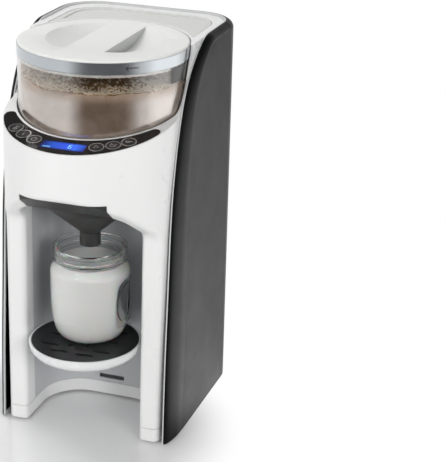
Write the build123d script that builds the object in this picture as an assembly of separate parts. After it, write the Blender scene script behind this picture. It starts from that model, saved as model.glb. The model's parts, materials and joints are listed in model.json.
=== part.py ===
from build123d import *
from math import atan, copysign, cos, degrees, radians, sin, sqrt
import os

# Baby formula maker: a bottle stands on a tray in an open bay, a powder container sits in a well
# above it, and a water tank stands behind the well.  Units are millimetres, +Z is up, +X is the
# right-hand side for someone who faces the machine, and -Y is the front.  The origin is on the
# floor, at the centre of the machine's width and depth.

# ---- driving dimensions --------------------------------------------------------------------
MACHINE_DEPTH = 254.0          # front of the head to the back of the rear cover
FIT = 0.3                      # gap between parts that are set together
SKIN = 2.6                     # wall of the white shells
PANEL_WALL = 2.4               # wall of the dark wrap panels

# powder container, measured from its own axis
CONTAINER_R = 79.5
CONTAINER_WALL = 2.2
CONTAINER_HEIGHT = 62.5        # clear wall only
CONTAINER_BASE_T = 4.2
LID_R = 80.0
LID_HEIGHT = 12.7
LID_PLATE = 2.6
LID_SKIRT = 2.4
WELL_GAP = 0.6                 # around the lid
WELL_WALL = 2.0
CHEEK = 1.9                    # white wall beside the well at its widest
AXIS_FROM_FRONT = 110.0        # container axis to the front of the head
OUTLET_OFFSET = 34.0           # powder outlet, in front of the container axis
POWDER_LEVEL = 43.0            # above the clear wall's foot
POWDER_GAP = 0.3               # powder to the clear wall
LATCH_HALF_ANGLE = 13.0        # half of the arc that a lug takes up
LATCH_TURN = 5.0               # from straight sideways to the lug's middle, forwards at the right
LATCH_DROP = 15.2              # clear wall's top down to the lug's underside
LATCH_HEIGHT = 14.0
SCOOP_WALL_X = 19.0            # half of the grip bar between the finger scoops
SCOOP_LENGTH = 52.0            # half the length of a scoop
SCOOP_REACH = 37.0
SCOOP_DEPTH = 11.5
SCOOP_BACK = 8.0               # scoop's middle behind the container axis
SCOOP_WALL = 2.2               # wall under a scoop

# heights
BAY_HEIGHT = 237.0             # floor to the bay's ceiling
LIP_RISE = 17.0                # bay ceiling to the head's lower lip
HEAD_HEIGHT = 45.0             # lip to the seat under the container
SEAT_T = 3.0
DECK_LIP = 2.0                 # the wrap's rim above the white deck
BASE_HEIGHT = 15.2             # floor to the top of the foot band
BASE_LIFT = 2.0                # floor to the underside of the foot band
FLOOR_T = 3.0                  # floor plate of the foot band
PANEL_LIFT = 1.2               # floor to the underside of the wrap

# head, pillars and bay in plan
HEAD_DEPTH = 86.0              # half-ellipse of the head
PILLAR_DEPTH = 33.0            # front of the pillars before the ellipse's centre
PILLAR_LEAN = 4.0
BLEND_DROP = 48.0              # sweep from the lip down to the pillars
BLEND_OVER = 4.0
PILLAR_ROUND = 6.0             # outer edge of the pillars and of the sweep
HEAD_TOP_RISE = 1.7            # head's front top edge above the seat
HEAD_TOP_SLOPE = 0.22
BAY_HALF_WIDTH = 58.5
BAY_CORNER_R = 38.0
BAY_BACK = 21.5                # bay's back wall behind the container axis
ARCH_R = 22.0
MOUTH_ROUND = 5.0              # edge of the white body around the bay
LINER_T = 2.0
LINER_FRONT = 37.0             # front edge of the liner, in front of the container axis

# wrap panels
PANEL_EDGE = 1.2               # thin bright edge of the wrap
SHOULDER = 7.5                 # outward bulge of the wrap
SHOULDER_TOP = 7.5             # height of the shoulder on the top edge
REAR_CORNER_R = 42.0
REAR_COVER_DEPTH = 43.0        # rear cover's back down to its joint with the side panels
VENT_COUNT = 6
VENT_PITCH = 7.0
VENT_GAP = 2.6
VENT_HALF = 26.0
VENT_LOW = 70.0                # floor to the lowest vent
REAR_SCREW_X = 40.0
REAR_SCREW_DROP = 22.0         # deck to the upper rear screws

# funnel drawer
DRAWER_HALF_WIDTH = 42.2
DRAWER_REAR = 43.0             # rear end behind the outlet
DRAWER_WALL = 2.2
NOSE_REACH = 46.0              # rear of the slanted nose in front of the outlet
NOSE_SINK = 1.0                # slanted nose behind the white sweep
CONE_INSET = 1.2               # cone's top inside the drawer's width
CONE_RIM = 8.0                 # upright rim above the cone
CONE_LOW_R = 11.0
CONE_DROP = 34.0               # drawer's underside to the neck
NECK_R = 10.0
NECK_LENGTH = 14.3
FUNNEL_WALL = 1.8
RAIL_RISE = 6.0                # drawer's underside to its grooves
RAIL_HEIGHT = 3.2
RAIL_DEPTH = 1.4               # groove's depth into the drawer's side
RAIL_REACH = 4.0               # liner's rail beside the drawer
NOZZLE_X = 25.0                # hot-water jet beside the outlet
NOZZLE_FORWARD = 8.0

# bottle and tray
BOTTLE_HEIGHT = 91.2
BOTTLE_R = 38.2
BOTTLE_FOOT_R = 22.0
BOTTLE_NECK_R = 33.4
BOTTLE_RIM_R = 35.6
BOTTLE_WALL = 1.8
BOTTLE_FLOOR_T = 2.4
DENT_DEPTH = 9.0               # finger hollows on both sides of the bottle
DENT_HALF_WIDTH = 19.5
DENT_HALF_HEIGHT = 20.5
DENT_OUT = 2.0                 # hollow's centre outside the bottle's side
MILK_LEVEL = 66.5
MILK_GAP = 0.3                 # between the milk's solid and the bottle's wall
TRAY_TOP = 95.8                # floor to the tray's rim
TRAY_R = 54.0
TRAY_HEIGHT = 14.0
TRAY_WALL = 2.2
TRAY_AXIS_FORWARD = 13.0       # tray's centre in front of the outlet
GRID_T = 2.9
GRID_R = 51.4
GRID_SLOT_WIDTH = 4.2
GRID_SLOT_LENGTH = 21.0
GRID_SLOT_WAVE = 1.1           # slot's bend to each side
GRID_SLOT_TURN = -8.0          # degrees from straight across
GRID_PITCH_X = 26.0
GRID_PITCH_Y = 11.5
FINGER_HOLE = (20.0, 13.0)     # oval hole that lifts the grid out
FINGER_HOLE_FORWARD = 18.0
TONGUE_HALF_WIDTH = 13.0
TONGUE_T = 4.0
TONGUE_RISE = 4.0              # tongue above the tray's underside
SLOT_PITCH = 33.0              # between the tray's heights
SLOT_COUNT = 3

# water tank
TANK_HALF_WIDTH = 73.5
TANK_REAR_GAP = 12.5           # tank lid to the back of the deck
TANK_CORNER_R = 32.0
TANK_WALL = 2.2
TANK_HEIGHT = 170.0
TANK_FRONT = 27.0              # front corners of the tank, behind the container axis
TANK_LID_T = 3.0
VALVE_R = 8.0
VALVE_INSET = 18.0             # valve in front of the tank's back
CRADLE_T = 3.0

# controls
BUTTON_R = 6.0
BUTTON_RING = 0.9
BUTTON_GAP = 0.12
BUTTON_TRAVEL = 0.7
BUTTON_PROUD = 0.6
BUTTON_X = (29.9, 43.1, 54.6)  # centre distances from the middle, each side
BUTTON_NAMES = ("power", "info", "temperature", "start", "volume", "powder")
DISPLAY_HALF_WIDTH = 20.9
DISPLAY_HEIGHT = 13.0
DISPLAY_CENTRE = 95.0          # in front of the container axis
PANEL_PLATE = 1.5
BOARD_DROP = 8.2
BOARD_T = 1.6
CRESCENT_MARGIN = 1.0
CRESCENT_HALF_WIDTH = 75.5
CRESCENT_TIP_R = 5.0

# drive and dosing
GEARBOX_R = 19.0
GEARBOX_HEIGHT = 22.0
MOTOR_R = 14.0
MOTOR_HEIGHT = 17.0
SHAFT_R = 4.0
HEX_AF = 14.0
HEX_CLEARANCE = 0.5
HUB_R = 14.0
WHEEL_R = 50.0
WHEEL_T = 6.6
POCKET_R = 7.0
POCKET_COUNT = 8
STIRRER_R = 72.0
STIRRER_ARMS = 3
STIRRER_T = 5.0
OUTLET_R = 9.0
CHUTE_WALL = 2.0

# water system and electrics
PUMP_R = 18.0
PUMP_LENGTH = 58.0
HEATER_R = 20.0
HEATER_HEIGHT = 105.0
HOSE_R = 4.0
HOSE_BEND = 12.0
FRAME_T = 3.0
FRAME_SCREW_X = 66.0
FRAME_SCREW_BACK = 20.0        # frame screws behind the bay
PUMP_X = -38.0
PUMP_BACK = 55.0               # pump's middle behind the frame plate
PUMP_RISE = 8.0                # frame's foot to the underside of the pump
HEATER_X = 48.0
HEATER_GAP = 7.0               # frame plate to the heater
HEATER_Z = 60.0
STRAP_INSET = 22.0             # clamps from the heater's ends
BOARD_GAP = 4.0                # frame plate to the power board
BOARD_SPAN = (-62.0, -4.0, 105.0, 168.0)
HOSE_PASS_DROP = 19.0          # seat down to the hose that goes through the frame
PORT_WALL = 1.2
FOOT_X = 68.0
FOOT_FRONT = 18.0              # front feet before the head's straight sides
FOOT_REAR = 26.0               # rear feet in front of the deck's back
FOOT_R = 7.0
FOOT_T = 3.0
SCREW_R = 1.6
SCREW_HEAD_R = 3.2
SCREW_LENGTH = 16.0
INLET_WIDTH = 28.0
INLET_HEIGHT = 20.0
INLET_DEPTH = 26.0
INLET_X = 30.0
INLET_Z = 38.0

# ---- places worked out from them -----------------------------------------------------------
FRONT_Y = -MACHINE_DEPTH / 2
REAR_Y = MACHINE_DEPTH / 2
AXIS_Y = FRONT_Y + AXIS_FROM_FRONT
OUTLET_Y = AXIS_Y - OUTLET_OFFSET
TRAY_Y = OUTLET_Y - TRAY_AXIS_FORWARD
CENTRE_Y = FRONT_Y + HEAD_DEPTH
WELL_R = LID_R + WELL_GAP
HEAD_HALF = WELL_R + CHEEK
PANEL_X = HEAD_HALF + FIT
PANEL_LIP_X = PANEL_X + PANEL_EDGE
PANEL_OUT_X = PANEL_LIP_X + SHOULDER
LIP_Z = BAY_HEIGHT + LIP_RISE
SEAT_Z = LIP_Z + HEAD_HEIGHT
BOWL_Z = SEAT_Z + FIT
WALL_Z = BOWL_Z + CONTAINER_BASE_T
BAND_Z = WALL_Z + CONTAINER_HEIGHT + FIT
DECK_Z = BAND_Z + LID_HEIGHT
TOP_Z = DECK_Z + DECK_LIP
HEAD_TOP_Z = SEAT_Z + HEAD_TOP_RISE
BAY_BACK_Y = AXIS_Y + BAY_BACK
LINER_FRONT_Y = AXIS_Y - LINER_FRONT
DECK_REAR_Y = REAR_Y - PANEL_EDGE - SHOULDER - FIT
TANK_REAR_Y = DECK_REAR_Y - TANK_REAR_GAP
DRAWER_Z = BAY_HEIGHT + FIT
DRAWER_TOP_Z = LIP_Z - FIT
BOTTLE_Z = TRAY_TOP
REAR_SEAM = REAR_Y - REAR_COVER_DEPTH
NOSE_REAR_Y = OUTLET_Y - NOSE_REACH
NOZZLE_Y = OUTLET_Y - NOZZLE_FORWARD
CONE_TOP_R = DRAWER_HALF_WIDTH - CONE_INSET
RAIL_Z = DRAWER_Z + RAIL_RISE
TANK_TOP_Z = DECK_Z - TANK_LID_T - FIT
TANK_Z = TANK_TOP_Z - TANK_HEIGHT
VALVE_Y = TANK_REAR_Y - VALVE_INSET
SHELF_Z = TANK_Z - FIT - CRADLE_T - FRAME_T
FRAME_Y = BAY_BACK_Y + LINER_T + 1.5
FRAME_HALF = HEAD_HALF - SKIN - 2.0
FRAME_Z = BASE_LIFT + FLOOR_T + 0.2
PUMP_Y = FRAME_Y + PUMP_BACK
PUMP_Z = FRAME_Z + PUMP_RISE + PUMP_R
HEATER_Y = FRAME_Y + FRAME_T + HEATER_GAP + HEATER_R
HOSE_PASS_Z = SEAT_Z - HOSE_PASS_DROP
PORT_R = HOSE_R + PORT_WALL
PILLAR_SCREW_X = (BAY_HALF_WIDTH + HEAD_HALF) / 2
PILLAR_SCREW_Y = CENTRE_Y - PILLAR_DEPTH + 30
FRAME_SCREW_Y = BAY_BACK_Y + FRAME_SCREW_BACK
REAR_SCREW_TOP_Z = DECK_Z - REAR_SCREW_DROP
REAR_SCREW_LOW_Z = BASE_LIFT + FLOOR_T + 5
FOOT_PLACES = [(side * FOOT_X, y) for side in (-1, 1)
               for y in (CENTRE_Y - FOOT_FRONT, DECK_REAR_Y - FOOT_REAR)]
TILT = degrees(atan(HEAD_TOP_SLOPE))
FAR = 2 * MACHINE_DEPTH

os.makedirs("parts", exist_ok=True)


# ---- small shape helpers -------------------------------------------------------------------
def box(x0, x1, y0, y1, z0, z1):
    return Pos((x0 + x1) / 2, (y0 + y1) / 2, (z0 + z1) / 2) * Box(x1 - x0, y1 - y0, z1 - z0)


def cyl(r, z0, z1, x=0.0, y=0.0):
    return Pos(x, y, (z0 + z1) / 2) * Cylinder(r, z1 - z0)


def ring(r_out, r_in, z0, z1, x=0.0, y=0.0):
    return cyl(r_out, z0, z1, x, y) - cyl(r_in, z0 - 1, z1 + 1, x, y)


def prism(face, z0, z1):
    return extrude(Pos(0, 0, z0) * face, amount=z1 - z0, dir=(0, 0, 1))


def turned(points, x=0.0, y=0.0):
    """A solid turned about a vertical axis from (radius, height) corners."""
    return Pos(x, y, 0) * revolve(make_face(Plane.XZ * Polyline(*points, close=True)), Axis.Z)


def side_prism(edges, half):
    """A closed outline in the YZ plane, as wide as half each way."""
    return extrude(make_face(edges), amount=half, dir=(1, 0, 0), both=True)


def tube(points, radius, bend):
    """A hose along straight runs joined by tangent arcs."""
    path = FilletPolyline(*points, radius=bend)
    start = Plane(origin=path @ 0, z_dir=path % 0)
    return sweep(start * Circle(radius), path=path)


def both_sides(part):
    return [part, mirror(part, about=Plane.YZ)]


def save(part, name):
    export_step(part, os.path.join("parts", name + ".step"))


# ---- outlines shared by several parts ------------------------------------------------------
def back_corner(half, rear_y, radius, front_y):
    """Two sides and a back with round corners, open towards the front."""
    return (Line((-half, front_y), (-half, rear_y - radius))
            + RadiusArc((-half, rear_y - radius), (-half + radius, rear_y), radius)
            + Line((-half + radius, rear_y), (half - radius, rear_y))
            + RadiusArc((half - radius, rear_y), (half, rear_y - radius), radius)
            + Line((half, rear_y - radius), (half, front_y)))


def body_plan(inset):
    """The white body in plan: a half-ellipse at the front, straight sides, round back corners."""
    half = HEAD_HALF - inset
    front = EllipticalCenterArc((0, CENTRE_Y), half, HEAD_DEPTH - inset, 180, arc_size=180)
    radius = REAR_CORNER_R - PANEL_EDGE - SHOULDER - FIT - inset
    return make_face(front + back_corner(half, DECK_REAR_Y - inset, radius, CENTRE_Y))


def head_top(y, drop=0.0):
    return HEAD_TOP_Z + HEAD_TOP_SLOPE * (y - FRONT_Y) - drop


def side_profile(inset, top_inset):
    """The white body from the side: pillar, sweep to the lip, sloped top, S-shaped cheek, deck."""
    pillar_y = CENTRE_Y - PILLAR_DEPTH
    knee_y = pillar_y + PILLAR_LEAN
    reach = FRONT_Y - knee_y
    sweep = [(knee_y, LIP_Z - BLEND_DROP), (knee_y + reach * 0.2, LIP_Z - BLEND_DROP * 0.68),
             (knee_y + reach * 0.52, LIP_Z - LIP_RISE), (FRONT_Y, LIP_Z + BLEND_OVER)]
    sweep = [(0, y + inset, z) for y, z in sweep]
    cheek = [(14.5, 55.0), (8.5, 47.0), (-1.0, 30.4), (-10.5, 14.0), (-20.0, 3.5)]
    slope_end = AXIS_Y - 28.0
    rise = [(AXIS_Y - fore, DECK_Z - down) for fore, down in cheek]
    bend = [(slope_end, head_top(slope_end))] + rise + [(AXIS_Y + 33.0, DECK_Z)]
    bend = [(0, y + top_inset, z - top_inset) for y, z in bend]
    nose = (0, FRONT_Y + inset, bend[0][2] - HEAD_TOP_SLOPE * (bend[0][1] - FRONT_Y - inset))
    foot = (0, pillar_y + inset, -5)
    outline = (Polyline(foot, sweep[0]) + Spline(*sweep, tangents=[(0, 0, 1), (0, -1, 0.9)])
               + Polyline(sweep[-1], nose, bend[0])
               + Spline(*bend, tangents=[(0, 1, HEAD_TOP_SLOPE), (0, 1, 0)])
               + Polyline(bend[-1], (0, FAR, DECK_Z - top_inset), (0, FAR, -5), foot))
    return side_prism(outline, PANEL_OUT_X + 10)


def tilted(part):
    """Set a part that is drawn flat at z = 0 onto the sloped top of the head."""
    origin = (0, AXIS_Y - DISPLAY_CENTRE, head_top(AXIS_Y - DISPLAY_CENTRE))
    return Pos(*origin) * Rot(TILT, 0, 0) * part


def slab(top, bottom):
    """The layer between two depths below the head's sloped top."""
    return tilted(box(-FAR / 2, FAR / 2, -FAR / 2, FAR / 2, -bottom, -top))


# ---- the bay -------------------------------------------------------------------------------
def bay_plan(grow):
    half, back = BAY_HALF_WIDTH + grow, BAY_BACK_Y + grow
    return make_face(back_corner(half, back, BAY_CORNER_R + grow, FRONT_Y - 20)
                     + Line((half, FRONT_Y - 20), (-half, FRONT_Y - 20)))


def bay_void(grow, z0=-5.0):
    """The space a bottle stands in: round-backed in plan, arched from the front."""
    top, half = BAY_HEIGHT + grow, BAY_HALF_WIDTH + grow
    arch = make_face(back_corner(half, top, ARCH_R + grow, z0) + Line((half, z0), (-half, z0)))
    tunnel = extrude(Plane.XZ * arch, amount=FAR / 2, both=True)
    return prism(bay_plan(grow), z0, top) & tunnel


def drawer_slot(grow):
    half = DRAWER_HALF_WIDTH + grow
    rear = OUTLET_Y + DRAWER_REAR + grow
    return box(-half, half, FRONT_Y - 20, rear, BAY_HEIGHT - 5, DRAWER_TOP_Z + grow)


# ---- crescent control panel ----------------------------------------------------------------
def crescent_prism(margin):
    """Between the container's well and the head's front edge, cut off short of the cheeks."""
    z0, z1 = SEAT_Z - 30, DECK_Z
    outer = prism(body_plan(CRESCENT_MARGIN + margin), z0, z1)
    well = cyl(WELL_R + WELL_WALL + 0.4 + margin, z0 - 1, z1 + 1, 0, AXIS_Y)
    half = CRESCENT_HALF_WIDTH - margin
    shape = (outer & box(-half, half, FRONT_Y - 5, AXIS_Y - 30, z0, z1)) - well
    tips = [e for e in shape.edges().filter_by(Axis.Z) if abs(e.center().X) > half - 0.1]
    return fillet(tips, CRESCENT_TIP_R - max(margin, 0))


def button_places():
    """Where the buttons stand, half way between the well and the head's edge."""
    places = []
    for side in (-1, 1):
        for reach in BUTTON_X:
            well_y = AXIS_Y - sqrt((WELL_R + WELL_WALL) ** 2 - reach ** 2)
            edge_y = CENTRE_Y - HEAD_DEPTH * sqrt(1 - (reach / HEAD_HALF) ** 2)
            places.append((side * reach, (well_y + edge_y) / 2))
    return places


def on_head(part, x, y):
    """Set a part drawn about z = 0 upright on the sloped head top at (x, y)."""
    return Pos(x, y, head_top(y)) * Rot(TILT, 0, 0) * part


def control_panel():
    plate = crescent_prism(0) & slab(0, PANEL_PLATE)
    for x, y in button_places():
        plate -= on_head(cyl(BUTTON_R + BUTTON_GAP + BUTTON_RING, -10, 10), x, y)
    return plate - tilted(display_block(0, 10, -10))


def display_block(margin, top, bottom):
    half, tall = DISPLAY_HALF_WIDTH + margin, DISPLAY_HEIGHT / 2 + margin
    return box(-half, half, -tall, tall, bottom, top)


def button_rings():
    shape = ring(BUTTON_R + BUTTON_GAP + BUTTON_RING, BUTTON_R + BUTTON_GAP, -PANEL_PLATE, 0.5)
    return Compound([on_head(shape, x, y) for x, y in button_places()])


def button_cap():
    stem = cyl(2.0, -BOARD_DROP + 2.0, -2.4)
    return cyl(BUTTON_R, -2.5, BUTTON_PROUD) + stem


def display_window():
    return tilted(display_block(-0.1, -0.1, -PANEL_PLATE + 0.2))


def display_module():
    body = display_block(1.5, -PANEL_PLATE - SKIN - 1.2, -BOARD_DROP)
    glass = display_block(-0.8, -PANEL_PLATE - 0.1, -PANEL_PLATE - SKIN - 1.5)
    return tilted(body + glass)


def control_board():
    board = crescent_prism(3.5) & slab(BOARD_DROP, BOARD_DROP + BOARD_T)
    switch = cyl(3.0, -BOARD_DROP, -BOARD_DROP + 2.0 - BUTTON_TRAVEL - 0.3)
    for x, y in button_places():
        board += on_head(switch, x, y)
    return board


# ---- white front shell ---------------------------------------------------------------------
def white_body(z0, z1):
    """The outer form between two heights, with a round outer edge on the pillars and the sweep."""
    body = prism(body_plan(0), z0, z1) & side_profile(0, 0)
    rim_y, rim_z = CENTRE_Y - PILLAR_DEPTH + PILLAR_LEAN + 1, LIP_Z + BLEND_OVER
    rim = [e for e in body.edges() if e.center().Y < rim_y and e.center().Z < rim_z]
    rim = [e for e in rim if e.bounding_box().size.Z > 5 and abs(e.center().X) > 5]
    return fillet(rim, PILLAR_ROUND)


def open_body(z0, z1):
    """The outer form less the bay, round all along the bay's mouth."""
    body = white_body(z0, z1) - bay_void(0)
    upright = [e for e in body.edges().filter_by(GeomType.LINE) if e.bounding_box().size.Z > 5]
    mouth = [e for e in upright if abs(abs(e.center().X) - BAY_HALF_WIDTH) < 0.1
             and e.center().Y < LINER_FRONT_Y]
    return fillet(mouth, MOUTH_ROUND)


def front_shell():
    low_z, high_z = BASE_HEIGHT + FIT, DECK_Z - 45
    floor_z = SEAT_Z - SEAT_T - FIT
    jamb_end = box(-FAR, FAR, FRONT_Y - 20, LINER_FRONT_Y, -10, LIP_Z)
    nose_end = box(-FAR, FAR, FRONT_Y - 20, NOSE_REAR_Y, -10, LIP_Z + SKIN)
    skin = open_body(low_z, DECK_Z)
    hollow = prism(body_plan(SKIN), low_z - 5, DECK_Z) & side_profile(SKIN + 1, SKIN + PANEL_PLATE)
    hollow -= cyl(WELL_R + WELL_WALL, floor_z - 2.2, TOP_Z, 0, AXIS_Y)
    hollow -= (bay_void(SKIN) & jamb_end) + (drawer_slot(SKIN) & nose_end)
    shell = skin - hollow - drawer_slot(FIT)
    shell -= cyl(WELL_R, floor_z, TOP_Z, 0, AXIS_Y) + cyl(WELL_R - 3, floor_z - 5, TOP_Z, 0, AXIS_Y)
    behind = box(-FAR, FAR, AXIS_Y - 3, FAR, -10, high_z)
    shell -= behind - cyl(WELL_R + WELL_WALL, 0, TOP_Z, 0, AXIS_Y)
    shell -= crescent_prism(-0.15) & slab(-5, PANEL_PLATE)
    for x, y in button_places():
        shell -= on_head(cyl(BUTTON_R + 0.4, -12, 5), x, y)
    shell -= tilted(display_block(-0.4, 5, -12))
    shell -= prism(tank_plan(0.5), high_z - 10, TOP_Z)
    for x in (-PILLAR_SCREW_X, PILLAR_SCREW_X):
        boss = box(x - 9.5, x + 9.5, PILLAR_SCREW_Y - 5, PILLAR_SCREW_Y + 5, low_z, low_z + 10)
        shell += boss - cyl(SCREW_R, 0, low_z + 11, x, PILLAR_SCREW_Y)
        shell -= rear_hole(copysign(REAR_SCREW_X, x), REAR_SCREW_TOP_Z)
    return shell


# ---- foot band, feet and screws ------------------------------------------------------------
def rear_hole(x, z):
    return Pos(x, REAR_Y, z) * Rot(90, 0, 0) * Cylinder(SCREW_R, 60)


def base_screw_places():
    return [(side * x, y) for side in (-1, 1)
            for x, y in ((PILLAR_SCREW_X, PILLAR_SCREW_Y), (FRAME_SCREW_X, FRAME_SCREW_Y))]


def base_ring():
    floor_top = BASE_LIFT + FLOOR_T
    block = open_body(BASE_LIFT, BASE_HEIGHT)
    hollow = prism(body_plan(SKIN), floor_top, BASE_HEIGHT + 5) & side_profile(SKIN, SKIN)
    hollow -= bay_void(SKIN)
    base = block - hollow
    for x, y in base_screw_places()[::2]:
        base += cyl(4.5, floor_top - 1, BASE_HEIGHT, x, y)
    for x, y in base_screw_places():
        base -= cyl(SCREW_R, 0, BASE_HEIGHT + 1, x, y)
        base -= cyl(SCREW_HEAD_R + 0.2, 0, BASE_LIFT + 1.8, x, y)
    for x, y in FOOT_PLACES:
        base -= cyl(FOOT_R, 0, FOOT_T, x, y)
    for x in (-REAR_SCREW_X, REAR_SCREW_X):
        base -= rear_hole(x, REAR_SCREW_LOW_Z)
    return base


def rubber_feet():
    foot = chamfer(Cylinder(FOOT_R, FOOT_T).edges().sort_by(Axis.Z)[0], 0.8)
    return Compound([Pos(x, y, FOOT_T / 2) * foot for x, y in FOOT_PLACES])


def screw():
    """A pan-head screw, head down, its seat at z = 0."""
    return cyl(SCREW_HEAD_R, -1.6, 0) + cyl(SCREW_R, 0, SCREW_LENGTH) - box(-2, 2, -0.4, 0.4, -2, -0.9)


def housing_screws():
    seat_z, seat_y = BASE_LIFT + 1.8, REAR_Y - 1.8
    screws = [Pos(x, y, seat_z) * screw() for x, y in base_screw_places()]
    for x in (-REAR_SCREW_X, REAR_SCREW_X):
        for z in (REAR_SCREW_LOW_Z, REAR_SCREW_TOP_Z):
            screws.append(Pos(x, seat_y, z) * Rot(90, 0, 0) * screw())
    return Compound(screws)


# ---- dark wrap -----------------------------------------------------------------------------
def wrap_edge():
    """Front and top edge of a side panel as (y, z, shoulder width) from the floor upwards."""
    front = CENTRE_Y - PILLAR_DEPTH
    low, lip = PANEL_LIFT, LIP_Z
    return [(front + 0.6, low, 38), (front + 4.0, lip * 0.32, 38), (front + 9.8, lip * 0.63, 34),
            (front + 16.8, lip - 14, 29), (AXIS_Y - 26.0, DECK_Z - 79.5, 24),
            (AXIS_Y - 11.5, DECK_Z - 46.0, 19), (AXIS_Y + 9.0, DECK_Z - 20.5, 14),
            (AXIS_Y + 31.0, DECK_Z - 5.5, 10), (AXIS_Y + 55.0, TOP_Z, SHOULDER_TOP)]


def wrap_outline(x, share, trim):
    """The side panel's outline at one distance from the middle, drawn in by the shoulder."""
    edge = wrap_edge()
    points = []
    for i, (y, z, width) in enumerate(edge):
        before, after = edge[max(i - 1, 0)], edge[min(i + 1, len(edge) - 1)]
        along_y, along_z = after[0] - before[0], after[1] - before[1]
        if i == 0:
            along_y = 0.0
        if i == len(edge) - 1:
            along_z = 0.0
        size = sqrt(along_y ** 2 + along_z ** 2)
        shift = trim + width * share
        points.append((x, y + along_z / size * shift, z - along_y / size * shift))
    points[0] = (x, points[0][1], PANEL_LIFT + trim)
    last = points[-1]
    rear = REAR_SEAM - trim
    rest = Polyline(last, (x, rear, last[2]), (x, rear, points[0][2]), points[0])
    return make_face(Spline(*points, tangents=[(0, 0.04, 1), (0, 1, 0)]) + rest)


def pillow(x_in, x_lip, x_out, trim):
    """A bulged plate: flat outlines stacked from the inside out along an elliptic shoulder."""
    plate = extrude(wrap_outline(x_in, 0, trim), amount=x_lip - x_in, dir=(1, 0, 0))
    steps = [0.0, 0.3, 0.58, 0.8, 0.94, 1.0]
    layers = [wrap_outline(x_lip + (x_out - x_lip) * h, 1 - sqrt(1 - h * h), trim) for h in steps]
    return plate + loft(layers)


def side_panel():
    outer = pillow(PANEL_X, PANEL_LIP_X, PANEL_OUT_X, 0)
    inner = pillow(PANEL_X - 1, PANEL_X, PANEL_OUT_X - PANEL_WALL, PANEL_WALL)
    return outer - inner


def wrap_back_plan(inset):
    half, rear = PANEL_OUT_X - inset, REAR_Y - inset
    radius = REAR_CORNER_R - inset
    start = REAR_SEAM + FIT - (1 if inset else 0)
    return make_face(back_corner(half, rear, radius, start) + Line((half, start), (-half, start)))


def rear_cover():
    block = prism(wrap_back_plan(0), PANEL_LIFT, TOP_Z)
    top = block.faces().sort_by(Axis.Z)[-1]
    rim = [e for e in top.edges() if e.center().Y > REAR_SEAM + FIT + 0.1]
    block = fillet(rim, SHOULDER_TOP)
    lip = PANEL_EDGE + SHOULDER
    cover = block - prism(wrap_back_plan(PANEL_WALL), PANEL_LIFT + PANEL_WALL, TOP_Z - SHOULDER_TOP - 2)
    cover -= prism(wrap_back_plan(lip), PANEL_LIFT - 1, TOP_Z + 1)
    for x in (-REAR_SCREW_X, REAR_SCREW_X):
        for z in (REAR_SCREW_LOW_Z, REAR_SCREW_TOP_Z):
            cover -= rear_hole(x, z)
            cover -= Pos(x, REAR_Y, z) * Rot(90, 0, 0) * Cylinder(SCREW_HEAD_R + 0.2, 3.6)
    cover -= inlet_block(0.15)
    for i in range(VENT_COUNT):
        z = VENT_LOW + VENT_PITCH * i
        cover -= box(-VENT_HALF, VENT_HALF, REAR_Y - 10, REAR_Y + 1, z, z + VENT_GAP)
    return cover


def inlet_block(grow):
    half, tall = INLET_WIDTH / 2 + grow, INLET_HEIGHT / 2 + grow
    return box(INLET_X - half, INLET_X + half, REAR_Y - INLET_DEPTH, REAR_Y + 1, INLET_Z - tall,
               INLET_Z + tall)


def power_inlet():
    half, tall = INLET_WIDTH / 2, INLET_HEIGHT / 2
    flange = box(INLET_X - half - 3, INLET_X + half + 3, REAR_Y - PANEL_WALL - 2, REAR_Y - PANEL_WALL,
                 INLET_Z - tall - 3, INLET_Z + tall + 3)
    shell = (inlet_block(0) & box(-FAR, FAR, -FAR, REAR_Y - 0.4, 0, FAR)) + flange
    socket = box(INLET_X - half + 3, INLET_X + half - 3, REAR_Y - 18, REAR_Y + 1,
                 INLET_Z - tall + 3, INLET_Z + tall - 3)
    shell -= socket
    for x in (-6, 0, 6):
        shell += box(INLET_X + x - 1, INLET_X + x + 1, REAR_Y - 18.5, REAR_Y - 6, INLET_Z - 2.5,
                     INLET_Z + 2.5)
    return shell


# ---- bay liner with the tray's slots -------------------------------------------------------
def slot_heights():
    top = TRAY_TOP - TRAY_HEIGHT + TONGUE_RISE
    return [top - SLOT_PITCH * i for i in range(SLOT_COUNT)]


def bay_liner():
    z0 = BASE_HEIGHT + FIT
    wall = bay_void(LINER_T, z0) - bay_void(0, z0 - 1)
    wall &= box(-FAR, FAR, LINER_FRONT_Y + 0.1, FAR, z0, FAR)
    wall -= drawer_slot(FIT)
    for rail in liner_rails():
        wall += rail
    for z in slot_heights():
        half = TONGUE_HALF_WIDTH + FIT
        wall -= box(-half, half, BAY_BACK_Y - 5, BAY_BACK_Y + 10, z - FIT, z + TONGUE_T + FIT)
    return wall


# ---- container seat, chute, drive ----------------------------------------------------------
def container_seat():
    r = WELL_R - FIT
    seat = cyl(r, SEAT_Z - SEAT_T, SEAT_Z, 0, AXIS_Y)
    seat -= cyl(SHAFT_R + 2.5, 0, FAR, 0, AXIS_Y)
    return seat - cyl(OUTLET_R + 1, 0, FAR, 0, OUTLET_Y)


def powder_chute():
    top = SEAT_Z - SEAT_T
    r = OUTLET_R + 1
    low = DRAWER_TOP_Z + 1.0
    body = ring(r + CHUTE_WALL, r, low, top, 0, OUTLET_Y)
    return body + ring(r + 4.0, r, top - 2, top, 0, OUTLET_Y)


def drive_motor():
    top = SEAT_Z - SEAT_T
    low = top - GEARBOX_HEIGHT
    body = cyl(GEARBOX_R, low, top, 0, AXIS_Y) + cyl(MOTOR_R, low - MOTOR_HEIGHT, low, 0, AXIS_Y)
    return body - cyl(SHAFT_R + 0.05, top - 10, top + 1, 0, AXIS_Y)


def output_shaft():
    return cyl(SHAFT_R, SEAT_Z - SEAT_T - 10 + 0.2, WALL_Z + 2, 0, AXIS_Y)


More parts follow.
